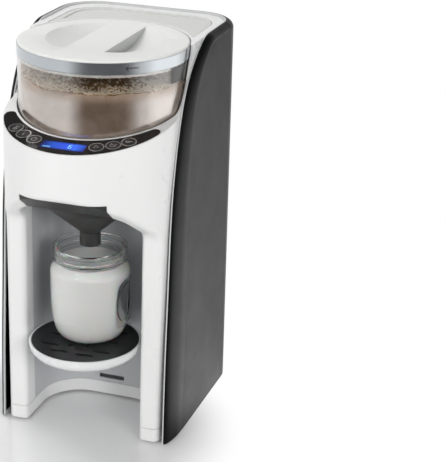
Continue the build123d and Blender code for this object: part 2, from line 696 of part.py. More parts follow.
def hexagon(across, z0, z1):
    return Pos(0, AXIS_Y, 0) * prism(RegularPolygon(across / 2, 6, major_radius=False), z0, z1)


def drive_coupling():
    return hexagon(HEX_AF, SEAT_Z + 0.8, WALL_Z + 4.5) - cyl(SHAFT_R, 0, WALL_Z + 2, 0, AXIS_Y)


def dosing_wheel():
    low, high = WALL_Z + 0.8, WALL_Z + 0.8 + WHEEL_T
    wheel = cyl(WHEEL_R, low, high, 0, AXIS_Y) + cyl(HUB_R, BOWL_Z + 0.6, low, 0, AXIS_Y)
    wheel += cyl(6.0, high, high + 3 + STIRRER_T + 4, 0, AXIS_Y)
    wheel -= hexagon(HEX_AF + HEX_CLEARANCE, 0, WALL_Z + 5.2)
    for i in range(POCKET_COUNT):
        turn = radians(-90 + i * 360 / POCKET_COUNT)
        wheel -= cyl(POCKET_R, 0, FAR, OUTLET_OFFSET * cos(turn), AXIS_Y + OUTLET_OFFSET * sin(turn))
    return wheel


def stirring_wheel():
    low = WALL_Z + 0.8 + WHEEL_T + 3
    high = low + STIRRER_T
    wheel = cyl(11.0, low, high + 2, 0, AXIS_Y)
    for i in range(STIRRER_ARMS):
        arm = box(6, STIRRER_R - 4, -3.5, 3.5, low, high)
        arm += box(STIRRER_R - 6, STIRRER_R - 1, -3.5, 3.5, low - 5, high)
        wheel += Pos(0, AXIS_Y, 0) * Rot(0, 0, 30 + i * 360 / STIRRER_ARMS) * arm
    return wheel - cyl(6.0, 0, FAR, 0, AXIS_Y)


def scraper():
    """Fixed blade over the outlet, so only what lies in a pocket falls through."""
    low = WALL_Z + WHEEL_T + 1.2
    reach = OUTLET_OFFSET - POCKET_R - 3
    blade = ring(WHEEL_R + 5, reach, low, low + 1.8, 0, AXIS_Y)
    post = ring(WHEEL_R + 5, WHEEL_R + 0.8, WALL_Z, low + 1.8, 0, AXIS_Y)
    sector = Pos(0, AXIS_Y, 0) * Rot(0, 0, 45) * box(-FAR, 0, -FAR, 0, 0, FAR)
    return (blade + post) & sector & box(-22, 22, -FAR, AXIS_Y, 0, FAR)


# ---- powder container and lid --------------------------------------------------------------
def container_base():
    base = cyl(CONTAINER_R, BOWL_Z, WALL_Z, 0, AXIS_Y)
    base -= cyl(HUB_R + 0.5, 0, FAR, 0, AXIS_Y)
    base -= cyl(OUTLET_R, 0, FAR, 0, OUTLET_Y)
    return base - ring(OUTLET_R + 4, OUTLET_R + 1.5, BOWL_Z - 1, BOWL_Z + 1.5, 0, OUTLET_Y)


def outlet_seal():
    return ring(OUTLET_R + 4, OUTLET_R + 1.5, BOWL_Z + 0.05, BOWL_Z + 1.5, 0, OUTLET_Y)


def latch_blocks():
    top = WALL_Z + CONTAINER_HEIGHT
    low = top - LATCH_DROP
    band = ring(CONTAINER_R + FIT, CONTAINER_R - CONTAINER_WALL, low, low + LATCH_HEIGHT)
    wedge = make_face(Polyline((0, 0), (100, -100 * sin(radians(LATCH_HALF_ANGLE))),
                               (100, 100 * sin(radians(LATCH_HALF_ANGLE))), close=True))
    wedge = prism(wedge, 0, FAR)
    blocks = [band & (Rot(0, 0, turn) * wedge) for turn in (-LATCH_TURN, 180 + LATCH_TURN)]
    return [Pos(0, AXIS_Y, 0) * block for block in blocks]


def powder_container():
    wall = ring(CONTAINER_R, CONTAINER_R - CONTAINER_WALL, WALL_Z, WALL_Z + CONTAINER_HEIGHT, 0, AXIS_Y)
    for block in latch_blocks():
        wall -= block
    return wall


def powder_fill():
    """The powder above the sweep of the stirrer, heaped towards one side."""
    r = CONTAINER_R - CONTAINER_WALL - POWDER_GAP
    top = WALL_Z + POWDER_LEVEL
    fill = cyl(r, WALL_Z + POWDER_GAP, top, 0, AXIS_Y)
    heap_r = 190.0
    heap = Pos(-24, AXIS_Y + 12, top + 10 - heap_r) * Sphere(heap_r)
    fill += heap & cyl(r, top - 1, top + 15, 0, AXIS_Y)
    sweep_top = WALL_Z + 0.8 + WHEEL_T + 3 + STIRRER_T + 6
    return fill - cyl(STIRRER_R + 0.8, 0, sweep_top, 0, AXIS_Y)


def scoop(grow):
    """One finger scoop beside the grip bar, turned about a line above the lid along Y."""
    reach, depth, length = SCOOP_REACH + grow, SCOOP_DEPTH + grow, SCOOP_LENGTH + grow
    turn_r = (reach ** 2 + depth ** 2) / (2 * depth)
    above = turn_r - depth
    side = (ThreePointArc((above, -length), (turn_r, 0), (above, length))
            + Polyline((above, length), (0, length), (0, -length), (above, -length)))
    body = revolve(make_face(side), Axis.Y)
    body &= box(-grow, 100, -100, 100, -100, -above)
    return Pos(SCOOP_WALL_X, AXIS_Y + SCOOP_BACK, DECK_Z + above) * body


def container_lid():
    plate = cyl(LID_R - 0.6, DECK_Z - LID_PLATE, DECK_Z, 0, AXIS_Y)
    top = plate.faces().sort_by(Axis.Z)[-1]
    lid = fillet(top.edges(), 1.0)
    skirt_r = LID_R - 1.6
    lid += ring(skirt_r, skirt_r - LID_SKIRT, BAND_Z, DECK_Z - LID_PLATE, 0, AXIS_Y)
    below = box(-100, 100, -200, 200, DECK_Z - 40, DECK_Z - 0.5)
    for hollow in both_sides(scoop(SCOOP_WALL)):
        lid += hollow & below
    for hollow in both_sides(scoop(0)):
        lid -= hollow
    return lid


def lid_band():
    return ring(LID_R, LID_R - 1.6, BAND_Z, DECK_Z - LID_PLATE + 0.5, 0, AXIS_Y) - cyl(
        LID_R - 0.6, DECK_Z - LID_PLATE, DECK_Z, 0, AXIS_Y)


def lid_gasket():
    skirt_in = LID_R - 1.6 - LID_SKIRT
    wall_in = CONTAINER_R - CONTAINER_WALL
    top = WALL_Z + CONTAINER_HEIGHT
    seal = ring(wall_in - FIT, skirt_in - 2.4, top - 3.0, BAND_Z, 0, AXIS_Y)
    return seal + ring(skirt_in, skirt_in - 2.4, BAND_Z - 0.5, BAND_Z + 4, 0, AXIS_Y)


# ---- funnel drawer -------------------------------------------------------------------------
def drawer_block(z0, z1, y0, y1, half):
    body = prism(body_plan(NOSE_SINK), z0 - 1, z1 + 1) & side_profile(NOSE_SINK, NOSE_SINK)
    return box(-half, half, y0, y1, z0, z1) & body


def funnel_turned(wall, top, end):
    """The funnel's rim, cone and neck about the outlet, thinner by a wall."""
    cone_z, rim_z = DRAWER_Z - CONE_DROP, DRAWER_Z - CONE_RIM
    rim_r, low_r, neck_r = CONE_TOP_R - wall, CONE_LOW_R - wall, NECK_R - wall
    return turned([(0, top), (rim_r, top), (rim_r, rim_z), (low_r, cone_z), (neck_r, cone_z - 1.0),
                   (neck_r, end), (0, end)], 0, OUTLET_Y)


def powder_funnel():
    rear, w = OUTLET_Y + DRAWER_REAR, DRAWER_HALF_WIDTH
    floor_z, end = DRAWER_Z + 2.4, DRAWER_Z - CONE_DROP - NECK_LENGTH
    tray = box(-w, w, NOSE_REAR_Y, rear, DRAWER_Z, DRAWER_TOP_Z - DRAWER_WALL - 0.4)
    w -= DRAWER_WALL
    pan = box(-w, w, NOSE_REAR_Y + DRAWER_WALL, rear - DRAWER_WALL, floor_z, DRAWER_TOP_Z)
    outside = funnel_turned(0, DRAWER_Z + 1, end)
    inside = funnel_turned(FUNNEL_WALL, DRAWER_Z + 3, end - 1)
    return tray + outside - inside - pan - drawer_grooves()


def drawer_grooves():
    """Grooves that run on the liner's rails, open at the rear."""
    rear = OUTLET_Y + DRAWER_REAR + 5
    groove = box(DRAWER_HALF_WIDTH - RAIL_DEPTH, DRAWER_HALF_WIDTH + RAIL_DEPTH, LINER_FRONT_Y - 1,
                 rear, RAIL_Z, RAIL_Z + RAIL_HEIGHT)
    return Compound(both_sides(groove))


def funnel_cover():
    """Slanted nose under the head's lip, and the roof over the funnel."""
    rear = OUTLET_Y + DRAWER_REAR
    top = DRAWER_TOP_Z
    half, wall = DRAWER_HALF_WIDTH, DRAWER_WALL
    nose = drawer_block(DRAWER_Z, top, FRONT_Y - 5, NOSE_REAR_Y - FIT, half)
    hollow = drawer_block(DRAWER_Z + wall, top - wall, FRONT_Y - 5, NOSE_REAR_Y, half - wall)
    nose -= Pos(0, 3.0, 0) * hollow
    roof = box(-half, half, NOSE_REAR_Y - 2, rear, top - wall, top)
    cover = nose + roof
    cover -= cyl(OUTLET_R + 1, 0, FAR, 0, OUTLET_Y)
    return cover - cyl(HOSE_R + 0.5, 0, FAR, NOZZLE_X, NOZZLE_Y)


def liner_rails():
    """Rails beside the drawer, each on a web that grows out of the liner's arch."""
    half, rear, front = DRAWER_HALF_WIDTH, OUTLET_Y + DRAWER_REAR, LINER_FRONT_Y + 0.2
    out = half + RAIL_REACH
    rail = box(half - 1.0, out, front, rear, RAIL_Z + 0.2, RAIL_Z + RAIL_HEIGHT - 0.2)
    web = box(half + FIT + 0.1, out, front, rear, BAY_HEIGHT - ARCH_R, RAIL_Z + 1)
    return both_sides(rail + (web - bay_void(0)))


# ---- bottle and tray -----------------------------------------------------------------------
def bottle_form(inset, foot, top):
    """The bottle's solid form, drawn in by its wall: round foot, S-shaped shoulder, neck."""
    belly, neck = BOTTLE_R - inset, BOTTLE_NECK_R - inset
    low, waist, high = BOTTLE_HEIGHT * 0.72, BOTTLE_HEIGHT * 0.795, BOTTLE_HEIGHT * 0.865
    outline = (Bezier((BOTTLE_FOOT_R, foot), (belly - 2.2, foot), (belly, BOTTLE_HEIGHT * 0.18),
                      (belly, low))
               + Bezier((belly, low), (belly, waist), (neck, waist), (neck, high))
               + Polyline((neck, high), (neck, top), (0, top), (0, foot), (BOTTLE_FOOT_R, foot)))
    return revolve(Plane.XZ * make_face(outline), Axis.Z)


def grip_dents(grow):
    """Shallow hollows on both sides of the bottle, where fingers hold it."""
    ball = scale(Sphere(1), by=(DENT_DEPTH + grow, DENT_HALF_WIDTH + grow, DENT_HALF_HEIGHT + grow))
    height = BOTTLE_HEIGHT * 0.42
    return both_sides(Pos(BOTTLE_R + DENT_OUT, 0, height) * ball)


def bottle():
    outer = bottle_form(0, 0, BOTTLE_HEIGHT)
    outer += cyl(BOTTLE_RIM_R, BOTTLE_HEIGHT - 3.2, BOTTLE_HEIGHT)
    outer += cyl(BOTTLE_RIM_R + 0.8, BOTTLE_HEIGHT - 10.5, BOTTLE_HEIGHT - 8)
    inner = bottle_form(BOTTLE_WALL, BOTTLE_FLOOR_T, BOTTLE_HEIGHT + 1)
    for dent in grip_dents(0):
        outer -= dent
    for dent in grip_dents(BOTTLE_WALL):
        inner -= dent
    return Pos(0, OUTLET_Y, BOTTLE_Z) * (outer - inner)


def milk():
    body = bottle_form(BOTTLE_WALL + MILK_GAP, BOTTLE_FLOOR_T + MILK_GAP, BOTTLE_HEIGHT)
    body &= cyl(BOTTLE_R, 0, MILK_LEVEL)
    for dent in grip_dents(BOTTLE_WALL + 2 * MILK_GAP):
        body -= dent
    return Pos(0, OUTLET_Y, BOTTLE_Z) * body


def tray_dish():
    top, low = TRAY_TOP - FIT, TRAY_TOP - TRAY_HEIGHT
    dish = turned([(0, low), (TRAY_R - 11, low), (TRAY_R - 5, low + 2.5), (TRAY_R - 1.2, low + 7),
                   (TRAY_R, top - 1.0), (TRAY_R - 0.8, top), (GRID_R + 0.4, top),
                   (GRID_R + 0.4, top - GRID_T - 0.3), (GRID_R - 2, top - GRID_T - 0.3),
                   (GRID_R - 5, low + TRAY_WALL + 1.5), (GRID_R - 9, low + TRAY_WALL),
                   (0, low + TRAY_WALL)], 0, TRAY_Y)
    z = low + TONGUE_RISE
    reach = BAY_BACK_Y + LINER_T + 1.0
    tongue = box(-TONGUE_HALF_WIDTH, TONGUE_HALF_WIDTH, TRAY_Y + TRAY_R - 4, reach, z, z + TONGUE_T)
    web = box(-TONGUE_HALF_WIDTH - 8, TONGUE_HALF_WIDTH + 8, TRAY_Y + TRAY_R - 5, BAY_BACK_Y - FIT,
              z - 2, z + TONGUE_T + 2)
    inside = cyl(GRID_R - 4, 0, FAR, 0, TRAY_Y)
    return dish + ((tongue + web) - inside)


def wavy_slot():
    """A slot that bends to both sides like a lazy S and is pointed at its ends."""
    half, wave = GRID_SLOT_LENGTH / 2, GRID_SLOT_WAVE
    steps = [(-0.72, 0.66), (-0.3, 0.98), (0.3, 0.98), (0.72, 0.66)]
    upper = [(half * t, wave * sin(radians(180 * t)) + GRID_SLOT_WIDTH / 2 * w) for t, w in steps]
    lower = [(half * t, wave * sin(radians(180 * t)) - GRID_SLOT_WIDTH / 2 * w) for t, w in steps]
    ends = [(-half, 0), (half, 0)]
    outline = Spline(ends[0], *upper, ends[1]) + Spline(ends[0], *lower, ends[1])
    return Rot(0, 0, GRID_SLOT_TURN) * make_face(outline)


def tray_grid():
    top = TRAY_TOP - FIT
    slot = prism(wavy_slot(), top - GRID_T - 1, top + 1)
    grid = cyl(GRID_R, top - GRID_T, top, 0, TRAY_Y)
    hole_x, hole_y = FINGER_HOLE[0] / 2, FINGER_HOLE[1] / 2
    grid -= Pos(0, TRAY_Y - FINGER_HOLE_FORWARD, 0) * prism(Ellipse(hole_x, hole_y), 0, top + 1)
    for row in range(-4, 5):
        shift = GRID_PITCH_X / 2 if row % 2 else 0
        for col in range(-2, 3):
            x, y = col * GRID_PITCH_X + shift, row * GRID_PITCH_Y
            clear = GRID_SLOT_LENGTH / 2 + 3
            near_hole = abs(y + FINGER_HOLE_FORWARD) < hole_y + GRID_SLOT_WIDTH and abs(x) < hole_x + clear
            if sqrt(x * x + y * y) < GRID_R - clear and not near_hole:
                grid -= Pos(x, TRAY_Y + y, 0) * slot
    return grid


# ---- water tank ----------------------------------------------------------------------------
def tank_plan(grow):
    """Round-cornered at the back, hollowed at the front around the container's well."""
    half = TANK_HALF_WIDTH + grow
    face = make_face(back_corner(half, TANK_REAR_Y + grow, TANK_CORNER_R + grow, AXIS_Y + TANK_FRONT)
                     + Line((half, AXIS_Y + TANK_FRONT), (-half, AXIS_Y + TANK_FRONT)))
    return face - Pos(0, AXIS_Y) * Circle(WELL_R + WELL_WALL + 1.6 - grow)


def water_tank():
    tank = prism(tank_plan(-1.0), TANK_Z, TANK_TOP_Z)
    tank -= prism(tank_plan(-1.0 - TANK_WALL), TANK_Z + TANK_WALL, TANK_TOP_Z + 1)
    return tank - cyl(VALVE_R, 0, TANK_Z + 20, 0, VALVE_Y)


def tank_valve():
    stem = cyl(VALVE_R, TANK_Z - 12, TANK_Z + 4, 0, VALVE_Y)
    cap = cyl(VALVE_R + 3, TANK_Z + TANK_WALL, TANK_Z + 6, 0, VALVE_Y)
    return stem + cap - cyl(3, TANK_Z - 13, TANK_Z + 7, 0, VALVE_Y)


def tank_lid():
    lid = prism(tank_plan(0), DECK_Z - TANK_LID_T, DECK_Z - 0.2)
    lid = fillet(lid.faces().sort_by(Axis.Z)[-1].edges(), 0.8)
    rim = prism(tank_plan(-6.0), DECK_Z - 1.2, DECK_Z)
    lid -= rim
    plug = prism(tank_plan(-TANK_WALL - 2.0), DECK_Z - TANK_LID_T - 5, DECK_Z - TANK_LID_T)
    return lid + (plug - prism(tank_plan(-TANK_WALL - 4.0), 0, DECK_Z - TANK_LID_T))


def tank_cradle():
    z0 = SHELF_Z + FRAME_T
    plate = prism(tank_plan(-3.0), z0, z0 + CRADLE_T)
    return plate - cyl(VALVE_R + 1, 0, FAR, 0, VALVE_Y)


def valve_socket():
    top, low = SHELF_Z + FRAME_T, SHELF_Z - 14
    cup = cyl(VALVE_R + 4, low, top, 0, VALVE_Y) - cyl(VALVE_R + 0.6, low + 3, top + 1, 0, VALVE_Y)
    barb = cyl(PORT_R, low - 8, low, 0, VALVE_Y)
    return cup + barb - cyl(2.5, low - 9, low + 4, 0, VALVE_Y)


# ---- inner frame and what it carries -------------------------------------------------------
def inner_frame():
    top = SEAT_Z - SEAT_T - FIT - 2.5
    plate = box(-FRAME_HALF, FRAME_HALF, FRAME_Y, FRAME_Y + FRAME_T, FRAME_Z, top)
    foot = box(-FRAME_HALF, FRAME_HALF, FRAME_Y, FRAME_SCREW_Y + 8, FRAME_Z, FRAME_Z + FRAME_T)
    shelf = box(-FRAME_HALF, FRAME_HALF, FRAME_Y, DECK_REAR_Y - SKIN - 1, SHELF_Z, SHELF_Z + FRAME_T)
    corners = prism(body_plan(SKIN + 1), SHELF_Z - 5, SHELF_Z + 10)
    frame = plate + foot + (shelf & corners)
    for side in (-1, 1):
        x = side * (FRAME_HALF - FRAME_T / 2)
        rib = box(x - FRAME_T / 2, x + FRAME_T / 2, FRAME_Y, FRAME_Y + 45, FRAME_Z, SHELF_Z + 1)
        frame += rib
    frame -= cyl(VALVE_R + 4.2, SHELF_Z - 1, SHELF_Z + FRAME_T + 1, 0, VALVE_Y)
    for x, y in base_screw_places()[1::2]:
        frame -= cyl(SCREW_R, 0, FRAME_Z + FRAME_T + 1, x, y)
    frame -= cyl(HOSE_R + 1, SHELF_Z - 1, SHELF_Z + FRAME_T + 1, HEATER_X, HEATER_Y)
    return frame - Pos(HEATER_X, FRAME_Y, HOSE_PASS_Z) * Rot(90, 0, 0) * Cylinder(HOSE_R + 1, 20)


def water_pump():
    barrel = Pos(PUMP_X, PUMP_Y, PUMP_Z) * Rot(90, 0, 0) * Cylinder(PUMP_R, PUMP_LENGTH)
    head = Pos(PUMP_X, PUMP_Y - PUMP_LENGTH / 2 - 5, PUMP_Z) * Box(30, 10, 30)
    port_in = cyl(PORT_R, PUMP_Z + PUMP_R - 2, PUMP_Z + PUMP_R + 9, PUMP_X, PUMP_Y + 10)
    port_out = cyl(PORT_R, PUMP_Z + 14, PUMP_Z + 26, PUMP_X, PUMP_Y - PUMP_LENGTH / 2 - 5)
    return barrel + head + port_in + port_out


def pump_mounts():
    feet = []
    for y in (-18, 18):
        saddle = box(PUMP_X - 14, PUMP_X + 14, PUMP_Y + y - 5, PUMP_Y + y + 5, BASE_LIFT + FLOOR_T,
                     PUMP_Z - 6)
        feet.append(saddle - Pos(PUMP_X, PUMP_Y, PUMP_Z) * Rot(90, 0, 0) * Cylinder(PUMP_R, FAR))
    return Compound(feet)


def water_heater():
    top = HEATER_Z + HEATER_HEIGHT
    body = fillet(Cylinder(HEATER_R, HEATER_HEIGHT).edges(), 3)
    body = Pos(HEATER_X, HEATER_Y, (HEATER_Z + top) / 2) * body
    ports = cyl(PORT_R, HEATER_Z - 10, HEATER_Z, HEATER_X, HEATER_Y)
    return body + ports + cyl(PORT_R, top, top + 10, HEATER_X, HEATER_Y)


def heater_clamps():
    straps = []
    for z in (HEATER_Z + STRAP_INSET, HEATER_Z + HEATER_HEIGHT - STRAP_INSET):
        strap = ring(HEATER_R + 1.6, HEATER_R, z - 5, z + 5, HEATER_X, HEATER_Y)
        foot = box(HEATER_X - 9, HEATER_X + 9, FRAME_Y + FRAME_T, HEATER_Y - HEATER_R - 0.5, z - 5, z + 5)
        straps.append(strap + foot - cyl(HEATER_R, z - 9, z + 9, HEATER_X, HEATER_Y))
    return Compound(straps)


def water_nozzle():
    """Hot-water jet over the funnel, carried by the chute."""
    low, high = DRAWER_TOP_Z + 0.5, DRAWER_TOP_Z + 9.0
    plate = box(0, NOZZLE_X + 7, NOZZLE_Y - 6, NOZZLE_Y + 6, low + 1, low + 4)
    plate -= cyl(OUTLET_R + 1 + CHUTE_WALL, 0, FAR, 0, OUTLET_Y)
    return cyl(HOSE_R, low, high, NOZZLE_X, NOZZLE_Y) + plate - cyl(2.2, 0, FAR, NOZZLE_X, NOZZLE_Y)


def suction_hose():
    top = SHELF_Z - 22
    foot = PUMP_Z + PUMP_R + 9
    return tube([(0, VALVE_Y, top), (0, VALVE_Y, top - 38), (PUMP_X, PUMP_Y + 10, foot + 42),
                 (PUMP_X, PUMP_Y + 10, foot)], HOSE_R, HOSE_BEND)


def pressure_hose():
    x, y, z = PUMP_X, PUMP_Y - PUMP_LENGTH / 2 - 5, PUMP_Z + 26
    low = HEATER_Z - 34
    return tube([(x, y, z), (x, y, z + 23), (10, HEATER_Y - 4, z + 23), (10, HEATER_Y - 2, low),
                 (HEATER_X, HEATER_Y, low), (HEATER_X, HEATER_Y, HEATER_Z - 10)], HOSE_R, HOSE_BEND)


def outlet_hose():
    z = HOSE_PASS_Z
    return tube([(HEATER_X, HEATER_Y, HEATER_Z + HEATER_HEIGHT + 10), (HEATER_X, HEATER_Y, z),
                 (HEATER_X, NOZZLE_Y + 19, z), (NOZZLE_X, NOZZLE_Y, z),
                 (NOZZLE_X, NOZZLE_Y, DRAWER_TOP_Z + 9.0)], HOSE_R, 8.0)


def power_board():
    y0 = FRAME_Y + FRAME_T + BOARD_GAP
    x0, x1, z0, z1 = BOARD_SPAN
    board = box(x0, x1, y0, y0 + BOARD_T, z0, z1)
    board += box(x0 + 6, x0 + 30, y0 + 1.5, y0 + 20, z0 + 8, z0 + 34)
    board += box(x0 + 36, x1 - 6, y0 + 1.5, y0 + 13, z0 + 10, z0 + 26)
    for x, z in ((x0 + 12, z1 - 14), (x0 + 26, z1 - 14), (x1 - 12, z1 - 16)):
        board += Pos(x, y0 + 9, z) * Rot(90, 0, 0) * Cylinder(5, 16)
    for x in (x0 + 4, x1 - 4):
        for z in (z0 + 4, z1 - 4):
            board += Pos(x, y0 - BOARD_GAP / 2, z) * Rot(90, 0, 0) * Cylinder(2.5, BOARD_GAP)
    return board


# ---- write every part ----------------------------------------------------------------------
right_panel = side_panel()
clear_latches = Compound(latch_blocks())
places = button_places()
parts = {
    "front_shell": front_shell(), "base_ring": base_ring(), "rubber_feet": rubber_feet(),
    "housing_screws": housing_screws(), "right_side_panel": right_panel,
    "left_side_panel": mirror(right_panel, about=Plane.YZ), "rear_cover": rear_cover(),
    "bay_liner": bay_liner(), "inner_frame": inner_frame(), "container_seat": container_seat(),
    "powder_chute": powder_chute(), "drive_motor": drive_motor(), "output_shaft": output_shaft(),
    "drive_coupling": drive_coupling(), "dosing_wheel": dosing_wheel(),
    "stirring_wheel": stirring_wheel(), "scraper": scraper(), "container_base": container_base(),
    "outlet_seal": outlet_seal(), "powder_container": powder_container(),
    "container_latches": clear_latches, "powder_fill": powder_fill(),
    "container_lid": container_lid(), "lid_band": lid_band(), "lid_gasket": lid_gasket(),
    "powder_funnel": powder_funnel(), "funnel_cover": funnel_cover(), "bottle": bottle(),
    "milk": milk(), "drip_tray": tray_dish(), "tray_grid": tray_grid(), "water_tank": water_tank(),
    "tank_valve": tank_valve(), "tank_lid": tank_lid(), "tank_cradle": tank_cradle(),
    "valve_socket": valve_socket(), "water_pump": water_pump(), "pump_mounts": pump_mounts(),
    "water_heater": water_heater(), "heater_clamps": heater_clamps(),
    "water_nozzle": water_nozzle(), "suction_hose": suction_hose(),
    "pressure_hose": pressure_hose(), "outlet_hose": outlet_hose(), "power_board": power_board(),
    "power_inlet": power_inlet(), "control_panel": control_panel(),
    "control_board": control_board(), "display_window": display_window(),
    "display_module": display_module(), "button_rings": button_rings(),
}
for name, (x, y) in zip(BUTTON_NAMES, places):
    parts["button_" + name] = on_head(button_cap(), x, y)
for name, part in parts.items():
    save(part, name)
print(len(parts), "parts")
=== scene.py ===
import bmesh
import bpy
import json
import math
from mathutils import Matrix, Vector, noise
from mathutils.bvhtree import BVHTree

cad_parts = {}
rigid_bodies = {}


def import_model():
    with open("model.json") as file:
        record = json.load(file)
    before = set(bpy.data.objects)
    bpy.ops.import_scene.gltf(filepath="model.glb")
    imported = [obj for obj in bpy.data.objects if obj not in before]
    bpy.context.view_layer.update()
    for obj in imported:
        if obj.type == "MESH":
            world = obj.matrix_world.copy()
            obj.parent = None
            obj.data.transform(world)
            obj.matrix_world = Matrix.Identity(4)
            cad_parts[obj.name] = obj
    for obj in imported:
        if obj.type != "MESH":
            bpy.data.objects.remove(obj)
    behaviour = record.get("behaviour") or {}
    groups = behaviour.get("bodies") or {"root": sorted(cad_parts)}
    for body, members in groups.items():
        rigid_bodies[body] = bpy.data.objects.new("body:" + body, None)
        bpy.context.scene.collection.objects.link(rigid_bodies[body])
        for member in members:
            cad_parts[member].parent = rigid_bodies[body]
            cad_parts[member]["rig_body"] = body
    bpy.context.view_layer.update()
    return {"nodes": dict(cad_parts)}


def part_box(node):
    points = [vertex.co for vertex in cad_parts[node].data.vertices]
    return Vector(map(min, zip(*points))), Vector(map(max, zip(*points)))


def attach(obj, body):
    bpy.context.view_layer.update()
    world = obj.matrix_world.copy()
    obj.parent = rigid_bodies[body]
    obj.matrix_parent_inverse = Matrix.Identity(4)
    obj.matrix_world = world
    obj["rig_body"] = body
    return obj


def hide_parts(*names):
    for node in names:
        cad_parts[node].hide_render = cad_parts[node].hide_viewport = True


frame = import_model()
nodes = frame["nodes"]


# ---- foot band -----------------------------------------------------------------------------
# A C-shaped band of the same white ABS as the body, moulded on its own and screwed up into the
# pillars from below.  Four turned rubber pads are pressed into it and carry the machine.
def give(tree, node, inputs):
    """Set a node's inputs to values, or link them to what other nodes put out."""
    for name, value in inputs.items():
        if isinstance(value, bpy.types.NodeSocket):
            tree.links.new(value, node.inputs[name])
        else:
            node.inputs[name].default_value = value


def add_node(tree, kind, inputs=None, **settings):
    """A node with its settings, its values and its incoming links."""
    node = tree.nodes.new(kind if "Node" in kind else "ShaderNode" + kind)
    for name, value in settings.items():
        setattr(node, name, value)
    give(tree, node, inputs or {})
    return node


def calc(tree, operation, *values):
    """What a sum on numbers gives."""
    return add_node(tree, "Math", dict(enumerate(values)), operation=operation).outputs[0]


def vector_calc(tree, operation, *values):
    """What a sum on vectors gives: a number for a length or a product, or else a vector."""
    node = add_node(tree, "VectorMath", dict(enumerate(values)), operation=operation)
    number = operation in ("LENGTH", "DISTANCE", "DOT_PRODUCT")
    return node.outputs["Value" if number else "Vector"]


def axis_of(tree, vector, axis):
    """One of a vector's three numbers."""
    return add_node(tree, "SeparateXYZ", {"Vector": vector}).outputs[axis]


def facing_up(tree):
    """How much the surface faces up: 1 where it is level."""
    return axis_of(tree, add_node(tree, "NewGeometry").outputs["Normal"], "Z")


def eased(tree, value, start, end, low=0.0, high=1.0, curve="LINEAR"):
    """A value carried from one range to another and held at its ends."""
    node = add_node(tree, "MapRange", {"Value": value, "From Min": start, "From Max": end,
                                       "To Min": low, "To Max": high}, interpolation_type=curve)
    return node.outputs["Result"]


def clouds(tree, place, scale, detail=2.0, **inputs):
    """Soft noise between 0 and 1."""
    node = add_node(tree, "TexNoise", {"Vector": place, "Scale": scale, "Detail": detail, **inputs})
    return node.outputs["Fac"]


def mixed(tree, share, one, two, blend="MIX"):
    """Two colours laid over each other."""
    node = add_node(tree, "MixRGB", {"Fac": share, "Color1": one, "Color2": two}, blend_type=blend)
    return node.outputs["Color"]


def relief(tree, height, strength, distance, **inputs):
    """The surface's direction with fine relief on it."""
    node = add_node(tree, "Bump", {"Height": height, "Strength": strength, "Distance": distance,
                                   **inputs})
    return node.outputs["Normal"]


def ramp(tree, factor, stops):
    """A colour ramp whose stops are (place, colour)."""
    node = add_node(tree, "ValToRGB", {"Fac": factor})
    steps = node.color_ramp.elements
    while len(steps) < len(stops):
        steps.new(1.0)
    for step, (place, colour) in zip(steps, stops):
        step.position = place
        step.color = (*colour, 1.0)
    return node.outputs["Color"]


def blank_finish(name):
    """A new finish: its tree, its shader and the object's own coordinates."""
    material = bpy.data.materials.new(name)
    material.use_nodes = True
    tree = material.node_tree
    place = add_node(tree, "TexCoord").outputs["Object"]
    return material, tree, tree.nodes["Principled BSDF"], place


def surface_wear(tree, shader, place, roughness, uneven, grain, grain_size, edge):
    """Uneven gloss, a fine grain, softly rounded edges, and less gloss where they are rubbed."""
    handled = clouds(tree, place, 38.0, 5.0)
    gloss = eased(tree, handled, 0.3, 0.7, roughness - uneven, roughness + uneven)
    soft = add_node(tree, "Bevel", {"Radius": edge}, samples=4).outputs["Normal"]
    flat = add_node(tree, "NewGeometry").outputs["Normal"]
    rubbed = eased(tree, vector_calc(tree, "DOT_PRODUCT", soft, flat), 0.995, 0.9, high=0.16)
    fine = clouds(tree, place, 0.35 / grain_size)
    give(tree, shader, {"Roughness": calc(tree, "ADD", gloss, rubbed),
                        "Normal": relief(tree, fine, grain, grain_size * 0.5, Normal=soft)})


def moulded(name, colour, roughness, mottle=0.03, uneven=0.04, grain=0.08, grain_size=0.0006,
            edge=0.0006, **sockets):
    """Moulded plastic, rubber or painted metal: faint clouds in the colour over the wear."""
    material, tree, shader, place = blank_finish(name)
    dark = [c * (1 - mottle) for c in colour]
    pale = [min(c * (1 + mottle), 1.0) for c in colour]
    tone = ramp(tree, clouds(tree, place, 14.0, 4.0), [(0.35, dark), (0.65, pale)])
    surface_wear(tree, shader, place, roughness, uneven, grain, grain_size, edge)
    constants = {socket.replace("_", " "): value for socket, value in sockets.items()}
    give(tree, shader, {"Base Color": tone, **constants})
    return material


def dress(material, *names):
    """Give CAD solids their finish."""
    for name in names:
        mesh = nodes[name].data
        mesh.materials.clear()
        mesh.materials.append(material)


def body_of(name):
    """The body that a CAD solid rides on."""
    return nodes[name]["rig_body"]


def settle(piece, body, *replaced):
    """Let a finished piece ride on its body, in place of the solids it stands for."""
    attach(piece, body)
    if replaced:
        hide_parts(*replaced)
    return piece


def placed(name, data):
    """A new object in the scene."""
    thing = bpy.data.objects.new(name, data)
    bpy.context.scene.collection.objects.link(thing)
    return thing


def smoothed(piece, angle):
    """Smooth shading, but for edges sharper than the angle."""
    mesh = piece.data
    mesh.polygons.foreach_set("use_smooth", [True] * len(mesh.polygons))
    mesh.set_sharp_from_angle(angle=math.radians(angle))
    return piece


